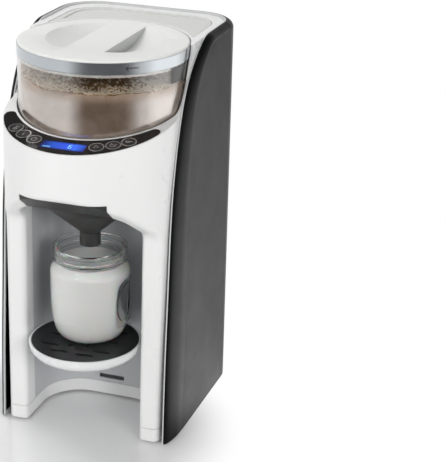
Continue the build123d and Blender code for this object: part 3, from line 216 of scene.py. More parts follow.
def skin_of(name, material, angle=34, weld=0.00002):
    """A welded copy of a CAD solid that shades smoothly between its real edges."""
    mesh = nodes[name].data.copy()
    mesh.name = name + "_skin"
    for layer in [a for a in mesh.attributes if a.name == "custom_normal"]:
        mesh.attributes.remove(layer)
    work = bmesh.new()
    work.from_mesh(mesh)
    bmesh.ops.remove_doubles(work, verts=work.verts, dist=weld)
    bmesh.ops.dissolve_degenerate(work, edges=work.edges, dist=weld / 4)
    work.to_mesh(mesh)
    work.free()
    mesh.materials.clear()
    mesh.materials.append(material)
    piece = smoothed(placed(name + "_skin", mesh), angle)
    return settle(piece, body_of(name), name)


white_abs = moulded("white_abs", (0.87, 0.872, 0.865), 0.3, mottle=0.008, uneven=0.03, grain=0.03,
                    edge=0.0012, Coat_Weight=0.15, Coat_Roughness=0.12)
skin_of("base_ring", white_abs)
rubber = moulded("black_rubber", (0.028, 0.028, 0.029), 0.75, grain=0.3, grain_size=0.0005)
screw_steel = moulded("screw_steel", (0.56, 0.56, 0.57), 0.32, uneven=0.1, grain=0.2, Metallic=1.0)
dress(rubber, "rubber_feet")
dress(screw_steel, "housing_screws")

# ---- inner frame and electrics -------------------------------------------------------------
# A dark glass-filled frame stands on the foot band behind the bay and carries the power board,
# a green laminate with its transformer and capacitors, and the mains inlet in the rear cover.
frame_black = moulded("frame_black", (0.11, 0.112, 0.115), 0.55, grain=0.2, grain_size=0.001)
laminate = moulded("green_laminate", (0.02, 0.13, 0.06), 0.4, mottle=0.12, grain=0.15,
                   grain_size=0.0012)
inlet_black = moulded("inlet_black", (0.022, 0.022, 0.023), 0.45, grain=0.15)
dress(frame_black, "inner_frame", "powder_chute")
dress(laminate, "power_board", "control_board")
dress(inlet_black, "power_inlet")

# ---- water works ---------------------------------------------------------------------------
# Water falls from the tank's valve through a silicone hose to a canned diaphragm pump, rises
# through a cast aluminium heater held by two steel straps, and reaches the jet by the chute.
pump_can = moulded("pump_can", (0.16, 0.16, 0.17), 0.35, uneven=0.08, grain=0.1, Metallic=0.8)
cast_alloy = moulded("cast_alloy", (0.6, 0.6, 0.61), 0.5, uneven=0.1, grain=0.45,
                     grain_size=0.0014, Metallic=1.0)
silicone = moulded("silicone", (0.78, 0.78, 0.75), 0.42, grain=0.1, Subsurface_Weight=0.15,
                   Subsurface_Scale=0.004)
dress(pump_can, "water_pump", "drive_motor")
dress(cast_alloy, "water_heater")
dress(screw_steel, "heater_clamps", "output_shaft")
dress(silicone, "suction_hose", "pressure_hose", "outlet_hose", "water_nozzle", "outlet_seal",
      "lid_gasket", "tank_valve")
dress(rubber, "pump_mounts", "tank_cradle")

# ---- bay liner -----------------------------------------------------------------------------
# One satin grey moulding lines the bay, round at the back, with three slots for the tray's
# tongue one above the other.  It clips in behind the pillars.
bay_grey = moulded("bay_grey", (0.57, 0.585, 0.60), 0.34, mottle=0.012, uneven=0.05, grain=0.06,
                   edge=0.0008)
skin_of("bay_liner", bay_grey)

# ---- white front shell ---------------------------------------------------------------------
# Head, pillars and deck are one gloss white ABS moulding.  It is polished outside, so the long
# soft reflections show its sweep from the head down to the pillars.
skin_of("front_shell", white_abs)

# ---- dark wrap -----------------------------------------------------------------------------
# Two side panels and a rear cover of grey ABS with a fine matte spark grain wrap the body.  Their
# round shoulder carries painted black shade, and their thin inner edge a bright painted highlight.
HIGHLIGHT_DEPTH = 0.00745            # painted highlight from this far inside the wrap's outer face
SHADE_DEPTH = 0.00115           # and painted black shade from there out to this, where the grey flank starts
WRAP_CORNER = 0.042             # radius of the two rear corners in plan
WRAP_GREYS = (0.024, 0.027)     # flank, at its darkest and palest
SHOULDER_PAINTED_SHADE = (0.003, 0.0031, 0.0034, 1.0)
EDGE_PAINTED_HIGHLIGHT = (0.62, 0.63, 0.63, 1.0)
WRAP_SHINE = 0.18


def wrap_finish(name):
    """Grained grey flank, painted black shade on the shoulder and a painted highlight on the edge,
    told apart by depth in the wrap.
    """
    material, tree, shader, place = blank_finish(name)
    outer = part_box("rear_cover")[1]
    middle = (outer.x - WRAP_CORNER, outer.y - WRAP_CORNER, 0.0)
    reach = calc(tree, "ABSOLUTE", axis_of(tree, place, "X"))
    plan = add_node(tree, "CombineXYZ", {"X": reach, "Y": axis_of(tree, place, "Y")})
    past = vector_calc(tree, "SUBTRACT", plan.outputs["Vector"], middle)
    outside = vector_calc(tree, "MAXIMUM", past, (0, 0, 0))
    depth = calc(tree, "SUBTRACT", WRAP_CORNER, vector_calc(tree, "LENGTH", outside))
    grey = ramp(tree, clouds(tree, place, 9.0, 4.0), [(0.35, (WRAP_GREYS[0],) * 3),
                                                      (0.65, (WRAP_GREYS[1],) * 3)])
    # painted shade blackens the shoulder, and a painted highlight brightens the thin inner edge
    flank = eased(tree, depth, SHADE_DEPTH, 0.0, curve="SMOOTHSTEP")
    body = mixed(tree, flank, SHOULDER_PAINTED_SHADE, grey)
    highlighted = mixed(tree, calc(tree, "GREATER_THAN", depth, HIGHLIGHT_DEPTH), body, EDGE_PAINTED_HIGHLIGHT)
    surface_wear(tree, shader, place, roughness=0.42, uneven=0.03, grain=0.12, grain_size=0.0006,
                 edge=0.0005)
    give(tree, shader, {"Base Color": highlighted, "Specular IOR Level": WRAP_SHINE})
    return material


wrap_dark = wrap_finish("wrap_dark")
for panel in ("right_side_panel", "left_side_panel", "rear_cover"):
    skin_of(panel, wrap_dark)

# ---- container seat and drive --------------------------------------------------------------
# A grey seat closes the well's floor.  Below it a small geared motor turns a steel shaft, and a
# moulded hexagon on the shaft drives the container's wheels.
seat_grey = moulded("seat_grey", (0.5, 0.51, 0.52), 0.45, grain=0.12)
nylon = moulded("white_nylon", (0.8, 0.8, 0.78), 0.4, grain=0.1)
dress(seat_grey, "container_seat", "valve_socket")
dress(nylon, "drive_coupling")

# ---- control panel -------------------------------------------------------------------------
# A piano-black crescent is let into the sloped head.  Six round caps stand in plated rings, and
# a backlit blue window shows a figure.
piano_black = moulded("piano_black", (0.011, 0.0092, 0.0088), 0.1, mottle=0.1, uneven=0.02,
                      grain=0.01, edge=0.0004, Specular_IOR_Level=0.28)
plated = moulded("plated_ring", (0.72, 0.73, 0.74), 0.16, uneven=0.05, grain=0.05, Metallic=1.0)
cap_black = moulded("cap_black", (0.022, 0.02, 0.02), 0.3, uneven=0.05, grain=0.05,
                    Specular_IOR_Level=0.35)
case_black = moulded("case_black", (0.06, 0.06, 0.065), 0.5, grain=0.1)
skin_of("control_panel", piano_black)
skin_of("button_rings", plated)
dress(case_black, "display_module")
for name in ("power", "info", "temperature", "start", "volume", "powder"):
    skin_of("button_" + name, cap_black)

# ---- water tank ----------------------------------------------------------------------------
# A clear blow-moulded tank hangs in the deck on a rubber-faced cradle.  Its lid is pale grey
# with a shallow dish and lies flush in the white deck.
deck_grey = moulded("deck_grey", (0.70, 0.705, 0.68), 0.35, mottle=0.01, grain=0.05)


def clear(name, tint, roughness=0.04, ior=1.45, waves=0.05):
    """Clear plastic or glass with a slight unevenness from the mould."""
    material, tree, shader, place = blank_finish(name)
    flow = clouds(tree, place, 24.0)
    colour = ramp(tree, flow, [(0.3, [c * 0.97 for c in tint]), (0.7, tint)])
    give(tree, shader, {"Base Color": colour, "Normal": relief(tree, flow, waves, 0.001),
                        "Roughness": roughness, "IOR": ior, "Transmission Weight": 1.0})
    return material


clear_tank = clear("clear_tank", (0.9, 0.94, 0.95), roughness=0.12)
skin_of("water_tank", clear_tank)
skin_of("tank_lid", deck_grey)

# ---- powder container ----------------------------------------------------------------------
# A mirror-bright clear drum stands on a dark floor with the outlet, the dosing wheel with its
# eight pockets, the stirring wheel above it and a fixed scraper blade.
clear_drum = clear("clear_drum", (0.97, 0.95, 0.935), roughness=0.07, ior=1.38, waves=0.01)
drum_low, drum_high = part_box("powder_container")
HAZE, HAZE_LEFT = 0.25, 0.07           # shine beside the powder and above it
HAZE_SHARE, HAZE_BLEND = 0.62, 0.004   # where it ends in the drum's height, and how softly
HAZE_END = drum_low.z + HAZE_SHARE * (drum_high.z - drum_low.z)


def hazed(material):
    """Less shine on the part of the wall that stands clear of the powder."""
    tree = material.node_tree
    rise = axis_of(tree, add_node(tree, "TexCoord").outputs["Object"], "Z")
    shine = eased(tree, rise, HAZE_END - HAZE_BLEND, HAZE_END + HAZE_BLEND, HAZE, HAZE_LEFT)
    give(tree, tree.nodes["Principled BSDF"], {"Metallic": shine})


hazed(clear_drum)
smoked = moulded("smoked_lug", (0.05, 0.047, 0.045), 0.2, grain=0.03)
drum_floor = moulded("drum_floor", (0.2, 0.18, 0.16), 0.4, grain=0.08)
wheel_white = moulded("wheel_white", (0.76, 0.77, 0.78), 0.35, grain=0.05)
skin_of("powder_container", clear_drum)
skin_of("container_latches", smoked)
dress(drum_floor, "container_base")
dress(wheel_white, "dosing_wheel", "stirring_wheel", "scraper")

# ---- milk powder ---------------------------------------------------------------------------
# Beige formula powder lies banked in the drum, higher towards the back and left, packed smooth
# against the clear wall.  Loose crumbs lie on its slope, scattered by a geometry tree.
POWDER_AXIS = Vector((0.0, -0.017, 0.0))
powder_low, powder_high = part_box("powder_fill")
POWDER_R = (powder_high.x - powder_low.x) / 2 - 0.0001
POWDER_FOOT, POWDER_LEVEL = powder_low.z, powder_high.z - 0.0095
POWDER_LIMIT = powder_high.z - 0.0012
HOLLOW_R = POWDER_R - 0.0041           # room that the stirrer sweeps underneath
HOLLOW_TOP = POWDER_FOOT + 0.0211
BANK_RISE, BANK_START = 0.0115, 0.25
BANK_SLOPE = (-0.62, 0.55)             # rises to the left and to the back
WAVE, WAVE_RATE = 0.0018, 38.0
LUMP, LUMP_RATE = 0.0009, 230.0
CRUMB_SIZE, CRUMB_COUNT = 0.0021, 230000.0
CRUMB_BARE, CRUMB_ROW = 0.042, 0.069   # crumbs grow denser between these radii
CRUMB_FEW = 0.16                       # share of them that lies inside the first
CRUMB_LEAST, CRUMB_MOST = (0.25, 0.25, 0.2), (1.1, 1.0, 0.9)
TILT_CRUMBS_AND_SHADE, TILT_FULL_SHADE = 0.3, 0.6       # crumbs lie, and painted shade browns the powder, from where its face looks up this much; the browning is full at the second


def powder_height(x, y):
    """The banked surface: a slope up to the back left, soft waves and small lumps."""
    climb = (BANK_SLOPE[1] * y + BANK_SLOPE[0] * x) / POWDER_R + BANK_START
    bank = BANK_RISE * min(max(climb, 0.0), 1.0)
    waves = WAVE * noise.noise(Vector((x, y, 0.0)) * WAVE_RATE)
    lumps = LUMP * noise.fractal(Vector((x, y, 0.01)) * LUMP_RATE, 1.0, 2.0, 3)
    return min(POWDER_LEVEL + bank + waves + lumps, POWDER_LIMIT)


def powder_body(rings=46, spokes=180):
    """A closed disc of powder with a banked top and the stirrer's room in its underside."""
    work = bmesh.new()
    turns = [2 * math.pi * spoke / spokes for spoke in range(spokes)]

    def loop(radius, height=None):
        places = [(radius * math.cos(turn), radius * math.sin(turn)) for turn in turns]
        return [work.verts.new(POWDER_AXIS + Vector((x, y, height or powder_height(x, y))))
                for x, y in places]

    rows = [loop(POWDER_R * ring / rings) for ring in range(1, rings + 1)]
    rows += [loop(POWDER_R, POWDER_FOOT), loop(HOLLOW_R, POWDER_FOOT), loop(HOLLOW_R, HOLLOW_TOP)]
    top = work.verts.new(POWDER_AXIS + Vector((0, 0, powder_height(0.0, 0.0))))
    bottom = work.verts.new(POWDER_AXIS + Vector((0, 0, HOLLOW_TOP)))
    for s in range(spokes):
        after = (s + 1) % spokes
        work.faces.new((top, rows[0][s], rows[0][after]))
        work.faces.new((bottom, rows[-1][after], rows[-1][s]))
        for inner, outer in zip(rows, rows[1:]):
            work.faces.new((inner[s], outer[s], outer[after], inner[after]))
    return work


def crumb_tree(material, crumb):
    """Scatters small uneven grains over the upward faces of a mesh, short of the drum's wall."""
    tree = bpy.data.node_groups.new("crumb_scatter", "GeometryNodeTree")
    tree.interface.new_socket("Geometry", in_out="INPUT", socket_type="NodeSocketGeometry")
    tree.interface.new_socket("Geometry", in_out="OUTPUT", socket_type="NodeSocketGeometry")
    for label, kind in (("Crumb Size", "Float"), ("Density", "Float"), ("Reach", "Float"),
                        ("Bare", "Float"), ("Row", "Float"), ("Few", "Float"), ("Seed", "Int")):
        tree.interface.new_socket(label, in_out="INPUT", socket_type="NodeSocket" + kind)
    given = add_node(tree, "NodeGroupInput").outputs
    result = add_node(tree, "NodeGroupOutput")
    place = add_node(tree, "GeometryNodeInputPosition").outputs["Position"]
    from_axis = vector_calc(tree, "SUBTRACT", place, POWDER_AXIS)
    reach = vector_calc(tree, "LENGTH", vector_calc(tree, "MULTIPLY", from_axis, (1, 1, 0)))
    inside = calc(tree, "LESS_THAN", reach, given["Reach"])
    rise = axis_of(tree, add_node(tree, "GeometryNodeInputNormal").outputs["Normal"], "Z")
    upward = calc(tree, "GREATER_THAN", rise, TILT_CRUMBS_AND_SHADE)
    share = eased(tree, reach, given["Bare"], given["Row"], low=given["Few"],
                  curve="SMOOTHERSTEP")
    dots = add_node(tree, "GeometryNodeDistributePointsOnFaces",
                    {"Mesh": given["Geometry"], "Seed": given["Seed"],
                     "Selection": calc(tree, "MULTIPLY", inside, upward),
                     "Density": calc(tree, "MULTIPLY", share, given["Density"])})
    ball = add_node(tree, "GeometryNodeMeshIcoSphere", {"Radius": given["Crumb Size"]})
    grain = add_node(tree, "GeometryNodeSetMaterial",
                     {"Geometry": ball.outputs["Mesh"], "Material": crumb})
    turn = add_node(tree, "FunctionNodeRandomValue", {0: (0, 0, 0), 1: (6.3, 6.3, 6.3)},
                    data_type="FLOAT_VECTOR")
    spread = add_node(tree, "FunctionNodeRandomValue", {0: CRUMB_LEAST, 1: CRUMB_MOST},
                      data_type="FLOAT_VECTOR")
    laid = add_node(tree, "GeometryNodeInstanceOnPoints",
                    {"Points": dots.outputs["Points"], "Instance": grain.outputs["Geometry"],
                     "Rotation": turn.outputs[0], "Scale": spread.outputs[0]})
    both = add_node(tree, "GeometryNodeJoinGeometry")
    tree.links.new(given["Geometry"], both.inputs["Geometry"])
    tree.links.new(laid.outputs["Instances"], both.inputs["Geometry"])
    real = add_node(tree, "GeometryNodeRealizeInstances", {"Geometry": both.outputs["Geometry"]})
    loose_and_shade = add_node(tree, "GeometryNodeMaterialSelection", {"Material": crumb})
    bank = add_node(tree, "FunctionNodeBooleanMath", {0: loose_and_shade.outputs["Selection"]},
                    operation="NOT")
    dressed = add_node(tree, "GeometryNodeSetMaterial",
                       {"Geometry": real.outputs["Geometry"], "Selection": bank.outputs[0],
                        "Material": material})
    give(tree, result, {"Geometry": dressed.outputs["Geometry"]})
    return tree


def grown(piece, tree, **sizes):
    """Run a geometry tree on a piece and keep what it gives as the piece's plain mesh."""
    modifier = piece.modifiers.new(tree.name, "NODES")
    modifier.node_group = tree
    for socket in tree.interface.items_tree:
        label = socket.name.replace(" ", "_")
        if socket.in_out == "INPUT" and label in sizes:
            modifier[socket.identifier] = sizes[label]
    view = bpy.context.evaluated_depsgraph_get()
    mesh = bpy.data.meshes.new_from_object(piece.evaluated_get(view))
    piece.modifiers.clear()
    piece.data = mesh
    return piece


def powder_finish(name, low, middle, high, loose_and_shade):
    """Fine powder with warmer, darker clumps, browner where it faces up: partly its own tint,
    partly painted shade.
    """
    material, tree, shader, place = blank_finish(name)
    fine = clouds(tree, place, 900.0, 4.0, Roughness=0.6)
    both = calc(tree, "ADD", fine, clouds(tree, place, 60.0, 5.0))
    packed = ramp(tree, calc(tree, "MULTIPLY", both, 0.5), [(0.38, low), (0.5, middle),
                                                            (0.62, high)])
    # painted shade, partly the powder's own tint: faces that look up are browned
    upward = eased(tree, facing_up(tree), TILT_CRUMBS_AND_SHADE, TILT_FULL_SHADE)
    shade = mixed(tree, upward, (1, 1, 1, 1), (*loose_and_shade, 1.0))
    give(tree, shader, {"Base Color": mixed(tree, 1.0, packed, shade, blend="MULTIPLY"),
                        "Normal": relief(tree, fine, 0.35, 0.0005), "Roughness": 0.92,
                        "Specular IOR Level": 0.2})
    return material


def piece_from(work, name, material, smooth=40):
    """A finished mesh object at the origin with smooth shading up to an angle."""
    mesh = bpy.data.meshes.new(name)
    bmesh.ops.recalc_face_normals(work, faces=work.faces)
    work.to_mesh(mesh)
    work.free()
    mesh.materials.append(material)
    return smoothed(placed(name, mesh), smooth)


# the milk powder's upward tint is partly its own colour and partly painted shade
milk_powder = powder_finish("milk_powder", (0.37, 0.265, 0.185), (0.47, 0.35, 0.26),
                            (0.60, 0.48, 0.38), loose_and_shade=(0.93, 0.70, 0.42))
crumb_cream = powder_finish("crumb_cream", (0.62, 0.50, 0.34), (0.78, 0.68, 0.50),
                            (0.88, 0.80, 0.66), loose_and_shade=(1.0, 1.0, 1.0))
powder = piece_from(powder_body(), "powder_bank", milk_powder)
grown(powder, crumb_tree(milk_powder, crumb_cream), Crumb_Size=CRUMB_SIZE, Density=CRUMB_COUNT,
      Reach=POWDER_R - 1.3 * CRUMB_SIZE, Bare=CRUMB_BARE, Row=CRUMB_ROW, Few=CRUMB_FEW, Seed=11)
settle(smoothed(powder, 60), "container", "powder_fill")

# ---- container lid -------------------------------------------------------------------------
# A satin white disc with two finger scoops, left and right of a bar that is gripped to twist it.
# A silvered band runs round its edge, and a silicone gasket seals it to the drum.
lid_low, lid_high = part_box("container_lid")
LID_Y, LID_Z = (lid_low.y + lid_high.y) / 2, lid_high.z
SCOOP_REACH = 0.072            # scoops end this far from the lid's axis
# painted shade laid on the scoops' steep walls
SCOOP_PAINTED_SHADE = (0.20, 0.215, 0.235, 1.0)


def lid_finish(name):
    """White satin, with painted shade that greys the scoops' steep walls."""
    material = moulded(name, (0.86, 0.865, 0.84), 0.38, mottle=0.008, uneven=0.03, grain=0.05,
                       edge=0.0012)
    tree = material.node_tree
    shader = tree.nodes["Principled BSDF"]
    top = shader.inputs["Base Color"].links[0].from_socket
    # painted shade: the scoops' walls turn greyer the steeper they stand
    steep = eased(tree, facing_up(tree), 0.96, 0.55, high=0.55)
    place = add_node(tree, "TexCoord").outputs["Object"]
    from_axis = vector_calc(tree, "DISTANCE", place, (0.0, LID_Y, LID_Z))
    inner = calc(tree, "LESS_THAN", from_axis, SCOOP_REACH)
    painted_scoop_shade = calc(tree, "MULTIPLY", steep, inner)
    give(tree, shader, {"Base Color": mixed(tree, painted_scoop_shade, top, SCOOP_PAINTED_SHADE)})
    return material


lid_white = lid_finish("lid_white")
silvered = moulded("silvered_band", (0.50, 0.53, 0.555), 0.17, uneven=0.04, grain=0.04,
                   Metallic=0.85)
skin_of("container_lid", lid_white)
skin_of("lid_band", silvered)

# ---- funnel drawer -------------------------------------------------------------------------
# The funnel hangs in a drawer of dark satin plastic.  Its slanted nose closes the head's sweep,
# and its cover has holes for the powder and for the hot-water jet.
funnel_dark = moulded("funnel_dark", (0.040, 0.040, 0.039), 0.42, uneven=0.05, grain=0.07,
                      edge=0.0008, Specular_IOR_Level=0.35)
skin_of("powder_funnel", funnel_dark)
skin_of("funnel_cover", funnel_dark)

# ---- drip tray -----------------------------------------------------------------------------
# A white moulded dish with a rolled rim holds a black grid, whose slanted slots let drops
# through.  The dish hangs by its tongue in the liner's top slot.
tray_white = moulded("tray_white", (0.84, 0.845, 0.85), 0.26, mottle=0.008, grain=0.03,
                     Coat_Weight=0.2)
grid_black = moulded("grid_black", (0.018, 0.019, 0.020), 0.36, uneven=0.06, grain=0.1,
                     Specular_IOR_Level=0.4)
skin_of("drip_tray", tray_white)
skin_of("tray_grid", grid_black)

# ---- bottle and milk -----------------------------------------------------------------------
# A wide-necked clear bottle with a round foot, a soft shoulder, a beaded rim and a finger hollow
# on each side.  Its milk stands in the round of the shoulder and is drawn in by the hollows.
bottle_clear = clear("bottle_clear", (0.96, 0.97, 0.97), roughness=0.02, ior=1.4, waves=0.02)
milk_white = moulded("milk_white", (0.91, 0.905, 0.885), 0.32, mottle=0.006, uneven=0.02,
                     grain=0.0, Subsurface_Weight=0.3, Subsurface_Scale=0.01)
skin_of("bottle", bottle_clear, angle=50)
WETTING = 0.0006                # milk reaches into the wall, so no air shows between them
HOLLOW_X, HOLLOW_DEPTH = 0.040, 0.0112
HOLLOW_WIDE, HOLLOW_TALL, HOLLOW_SHARE = 0.0222, 0.0232, 0.42
WAIST_NARROWING = 0.40          # milk stands back from the thick sides behind the hollows
WAIST_TALL, WAIST_START, WAIST_FADE = 0.0265, -0.018, 0.016
FILLED_OVER = 0.0103            # poured full, the milk stands in the round of the shoulder
bottle_low, bottle_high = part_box("bottle")
bottle_y = (bottle_low.y + bottle_high.y) / 2
hollow_z = bottle_low.z + HOLLOW_SHARE * (bottle_high.z - bottle_low.z)
glass = nodes["bottle"].data
wall_of_bottle = BVHTree.FromPolygons([v.co for v in glass.vertices],
                                      [list(face.vertices) for face in glass.polygons])


def inner_radius(z):
    """From the bottle's axis to its wall at one height, clear of the hollows."""
    start = Vector((0.0, bottle_y, z))
    return wall_of_bottle.ray_cast(start, Vector((0.0, 1.0, 0.0)))[3]


def milk_place(radius, turn, z):
    """A point of the milk's skin, drawn in beside the hollows."""
    x, y = radius * math.cos(turn), radius * math.sin(turn)
    up = (z - hollow_z) / WAIST_TALL
    behind = min(max((y - WAIST_START) / WAIST_FADE, 0.0), 1.0)
    waist = max(1 - up * up, 0.0) ** 1.5 * behind * behind * (3 - 2 * behind)
    reach = abs(x) * (1 - WAIST_NARROWING * waist)
    left = 1 - (y / HOLLOW_WIDE) ** 2 - ((z - hollow_z) / HOLLOW_TALL) ** 2
    if left > 0:
        reach = min(reach, HOLLOW_X - HOLLOW_DEPTH * math.sqrt(left))
    return Vector((math.copysign(reach, x), y + bottle_y, z))


def milk_body(levels=70, spokes=128):
    """The milk's closed skin, with its levels drawn together at its foot and its top."""
    low, top = [corner.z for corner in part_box("milk")]
    top += FILLED_OVER
    work = bmesh.new()
    rows = []
    for level in range(levels + 1):
        share = level / levels
        z = low + (top - low) * share * share * (3 - 2 * share)
        radius = inner_radius(z) + WETTING
        rows.append([work.verts.new(milk_place(radius, 2 * math.pi * (s + 0.5) / spokes, z))
                     for s in range(spokes)])
    for lower, upper in zip(rows, rows[1:]):
        for s in range(spokes):
            after = (s + 1) % spokes
            work.faces.new((lower[s], lower[after], upper[after], upper[s]))
    work.faces.new(rows[0][::-1])
    work.faces.new(rows[-1])
    return work


settle(piece_from(milk_body(), "milk_fill", milk_white, smooth=50), "filled_bottle", "milk")

# ---- display -------------------------------------------------------------------------------
# A liquid-crystal display glows blue behind its window, brighter in the middle than at its rim.
# A pale figure and a short level bar show in it, as thin as print.
BLUE_STEPS = [(0.0, (0.004, 0.006, 0.07)), (0.24, (0.02, 0.09, 0.55)), (0.55, (0.03, 0.10, 0.78)),
              (0.8, (0.05, 0.17, 0.92)), (1.0, (0.015, 0.03, 0.30))]
PRINT_LOW, PRINT_TOP = -0.01, 0.03      # print's underside and top from the face, millimetres


def blue_glow(name, low, high):
    """Backlight that fades to the window's rim and is darkest at its left end."""
    material, tree, shader, place = blank_finish(name)
    middle = [(a + b) / 2 for a, b in zip(low, high)]
    half = [(b - a) / 2 for a, b in zip(low, high)]
    from_middle = vector_calc(tree, "SUBTRACT", place, middle)
    share = vector_calc(tree, "DIVIDE", from_middle, [half[0], half[1], 1.0])
    end_to_end = eased(tree, axis_of(tree, share, "X"), -1.0, 1.0, -0.08, 0.92)
    drift = calc(tree, "MULTIPLY_ADD", clouds(tree, place, 110.0, 1.0), 0.16, end_to_end)
    across = calc(tree, "ABSOLUTE", axis_of(tree, share, "Y"))
    fade = eased(tree, across, 0.55, 1.0, 1.0, 0.25, curve="SMOOTHSTEP")
    dimmed = add_node(tree, "VectorMath", {0: ramp(tree, drift, BLUE_STEPS), "Scale": fade},
                      operation="SCALE")
    give(tree, shader, {"Emission Color": dimmed.outputs["Vector"], "Emission Strength": 1.0,
                        "Base Color": (0.004, 0.006, 0.03, 1.0), "Roughness": 0.08,
                        "Specular IOR Level": 0.3})
    return material


def flat_top(name):
    """Middle of a solid's upper flat face, with the directions across, up and out of it."""
    mesh = nodes[name].data
    steepest = max(face.normal.z for face in mesh.polygons)
    faces = [face for face in mesh.polygons if face.normal.z > steepest - 0.002]
    area = sum(face.area for face in faces)
    middle = sum((face.center * face.area for face in faces), Vector()) / area
    out = sum((face.normal * face.area for face in faces), Vector()).normalized()
    across = Vector((1, 0, 0))
    return middle, across, out.cross(across), out


def stroke(work, on_face, points, width):
    """A printed line: a thin closed ribbon through points in millimetres on a face."""
    corners = [Vector(point) for point in points]
    sides = []
    for i, corner in enumerate(corners):
        before, after = corners[max(i - 1, 0)], corners[min(i + 1, len(corners) - 1)]
        run = (after - before).normalized()
        off = Vector((-run.y, run.x)) * width / 2
        sides.append([work.verts.new(on_face(*(corner + way * off), height))
                      for way, height in ((1, PRINT_LOW), (-1, PRINT_LOW), (-1, PRINT_TOP),
                                          (1, PRINT_TOP))])
    for one, two in zip(sides, sides[1:]):
        for k in range(4):
            work.faces.new((one[k], one[(k + 1) % 4], two[(k + 1) % 4], two[k]))
    work.faces.new(sides[0][::-1])
    work.faces.new(sides[-1])


def arc(radius, start, end, u=0.0, v=0.0, steps=14):
    """Points of an arc in millimetres, from one angle to another."""
    turns = [math.radians(start + (end - start) * i / steps) for i in range(steps + 1)]
    return [(u + radius * math.cos(turn), v + radius * math.sin(turn)) for turn in turns]


def top_of(solid, shift=(0.0, 0.0)):
    """Turns millimetres on a solid's flat top into a place in the model."""
    middle, across, upward, out = flat_top(solid)

    def on_face(u, v, height):
        return middle + (across * (u + shift[0]) + upward * (v + shift[1]) + out * height) / 1000

    return on_face


def printed(name, solid, on_face, strokes, width, material):
    """Marks on a solid that ride with it."""
    work = bmesh.new()
    for points in strokes:
        stroke(work, on_face, points, width)
    piece = piece_from(work, name, material)
    settle(piece, body_of(solid))


FIGURE_SIZE = (2.4, 5.4)                # one seven-segment figure, across and up, millimetres
FIGURE_AT, FIGURE_LINE = (6.6, 0.2), 0.75
BAR_LINE, BAR_PITCH, BAR_LENGTH = 1.4, 1.9, 1.1
BAR_START = (-18.0, -3.6)
dress(blue_glow("blue_window", *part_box("display_window")), "display_window")
lit = moulded("lit_figure", (0.25, 0.5, 0.6), 0.4, Emission_Strength=0.85,
              Emission_Color=(0.22, 0.62, 0.95, 1.0))
w, h = FIGURE_SIZE[0] / 2, FIGURE_SIZE[1] / 2
six = [[(w, h), (-w, h), (-w, -h), (w, -h), (w, 0), (-w, 0)]]
bar_u, bar_v = BAR_START
level_bar = [[(bar_u + BAR_PITCH * i, bar_v), (bar_u + BAR_LENGTH + BAR_PITCH * i, bar_v)]
             for i in range(4)]
printed("display_figure", "display_window", top_of("display_window", FIGURE_AT), six,
        FIGURE_LINE, lit)
printed("display_level", "display_window", top_of("display_window"), level_bar, BAR_LINE, lit)

# ---- button marks --------------------------------------------------------------------------
# Each cap carries a small grey sign, printed on its flat top in millimetres from the middle: on
# and off, help, heat, start, amount and scoop.
cap_print = moulded("cap_print", (0.42, 0.40, 0.385), 0.55, mottle=0.06)
SIGN_LINE = 0.8
signs = {
    "power": [arc(2.6, 125, 415), [(0, 0.9), (0, 3.6)]],
    "info": [[(0, -2.8), (0, 0.7)], [(0, 2.0), (0, 2.9)]],
    "temperature": [arc(1.5, 60, -240, v=-1.9), [(0, -1.2), (0, 3.2)], [(1.5, 1.0), (2.6, 1.0)],
                    [(1.5, 2.6), (2.6, 2.6)]],
    "start": [[(-1.8, 2.6), (2.4, 0), (-1.8, -2.6), (-1.8, 2.6)]],
    "volume": [[(-2.3, 2.6), (-2.3, -2.6), (2.3, -2.6), (2.3, 2.6)], [(-1.5, 0.2), (1.5, 0.2)]],
    "powder": [arc(2.1, 180, 360, u=-1.0, v=0.6), [(-3.1, 0.6), (3.8, 0.6)]],
}
for cap, strokes in signs.items():
    solid = "button_" + cap
    printed(cap + "_mark", solid, top_of(solid), strokes, SIGN_LINE, cap_print)

# ---- lid mark ------------------------------------------------------------------------------
# A small dark arrow, printed round the silvered band near the front, shows which way the lid
# turns shut.
band_low, band_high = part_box("lid_band")
BAND_R = (band_high.x - band_low.x) / 2
BAND_Y, BAND_Z = (band_low.y + band_high.y) / 2, (band_low.z + band_high.z) / 2
ARROW_TURN = math.radians(-49.5)        # from the right-hand side towards the front
ARROW_LINE = 0.9
ARROW_SUNK = 0.00001                    # sits this much deeper than print on a flat face


def on_band(u, v, height):
    """Turns millimetres along and across the band into a place in the model."""
    turn = ARROW_TURN + u / 1000 / BAND_R
    radius = BAND_R + height / 1000 - ARROW_SUNK
    return Vector((radius * math.cos(turn), BAND_Y + radius * math.sin(turn), BAND_Z + v / 1000))


arrow = [[(-6.0, 0.0), (-3.0, 0.3), (0.0, 0.4), (3.0, 0.3), (6.0, 0.0)],
         [(-3.4, 2.2), (-6.2, 0.0), (-3.4, -2.2)]]
printed("lid_arrow", "lid_band", on_band, arrow, ARROW_LINE, cap_black)

# ---- floor, light and camera ---------------------------------------------------------------
# A pale glossy table, soft lights in front, on each side and above, a small one that shows as a
# glint in glass and plating, and a white surround.
SHADOW_MIDDLE = (-0.03, -0.08, 0.0)     # the table is greyest round this point
SHADOW_IN, SHADOW_OUT = 0.10, 0.19      # and turns plain white between these distances
FLAG_SIDE = (0.407, -0.914, 0.0)        # reflections go dark towards the viewer
FLAG_IN, FLAG_OUT = 0.62, 0.94          # between these cosines from that side
FLAG_LEFT = 0.02
CARD_SIDE = (0.93, 0.37, 0.0)           # and bright towards the right
CARD_IN, CARD_OUT = 0.80, 0.97
CARD_GLOW = 0.6


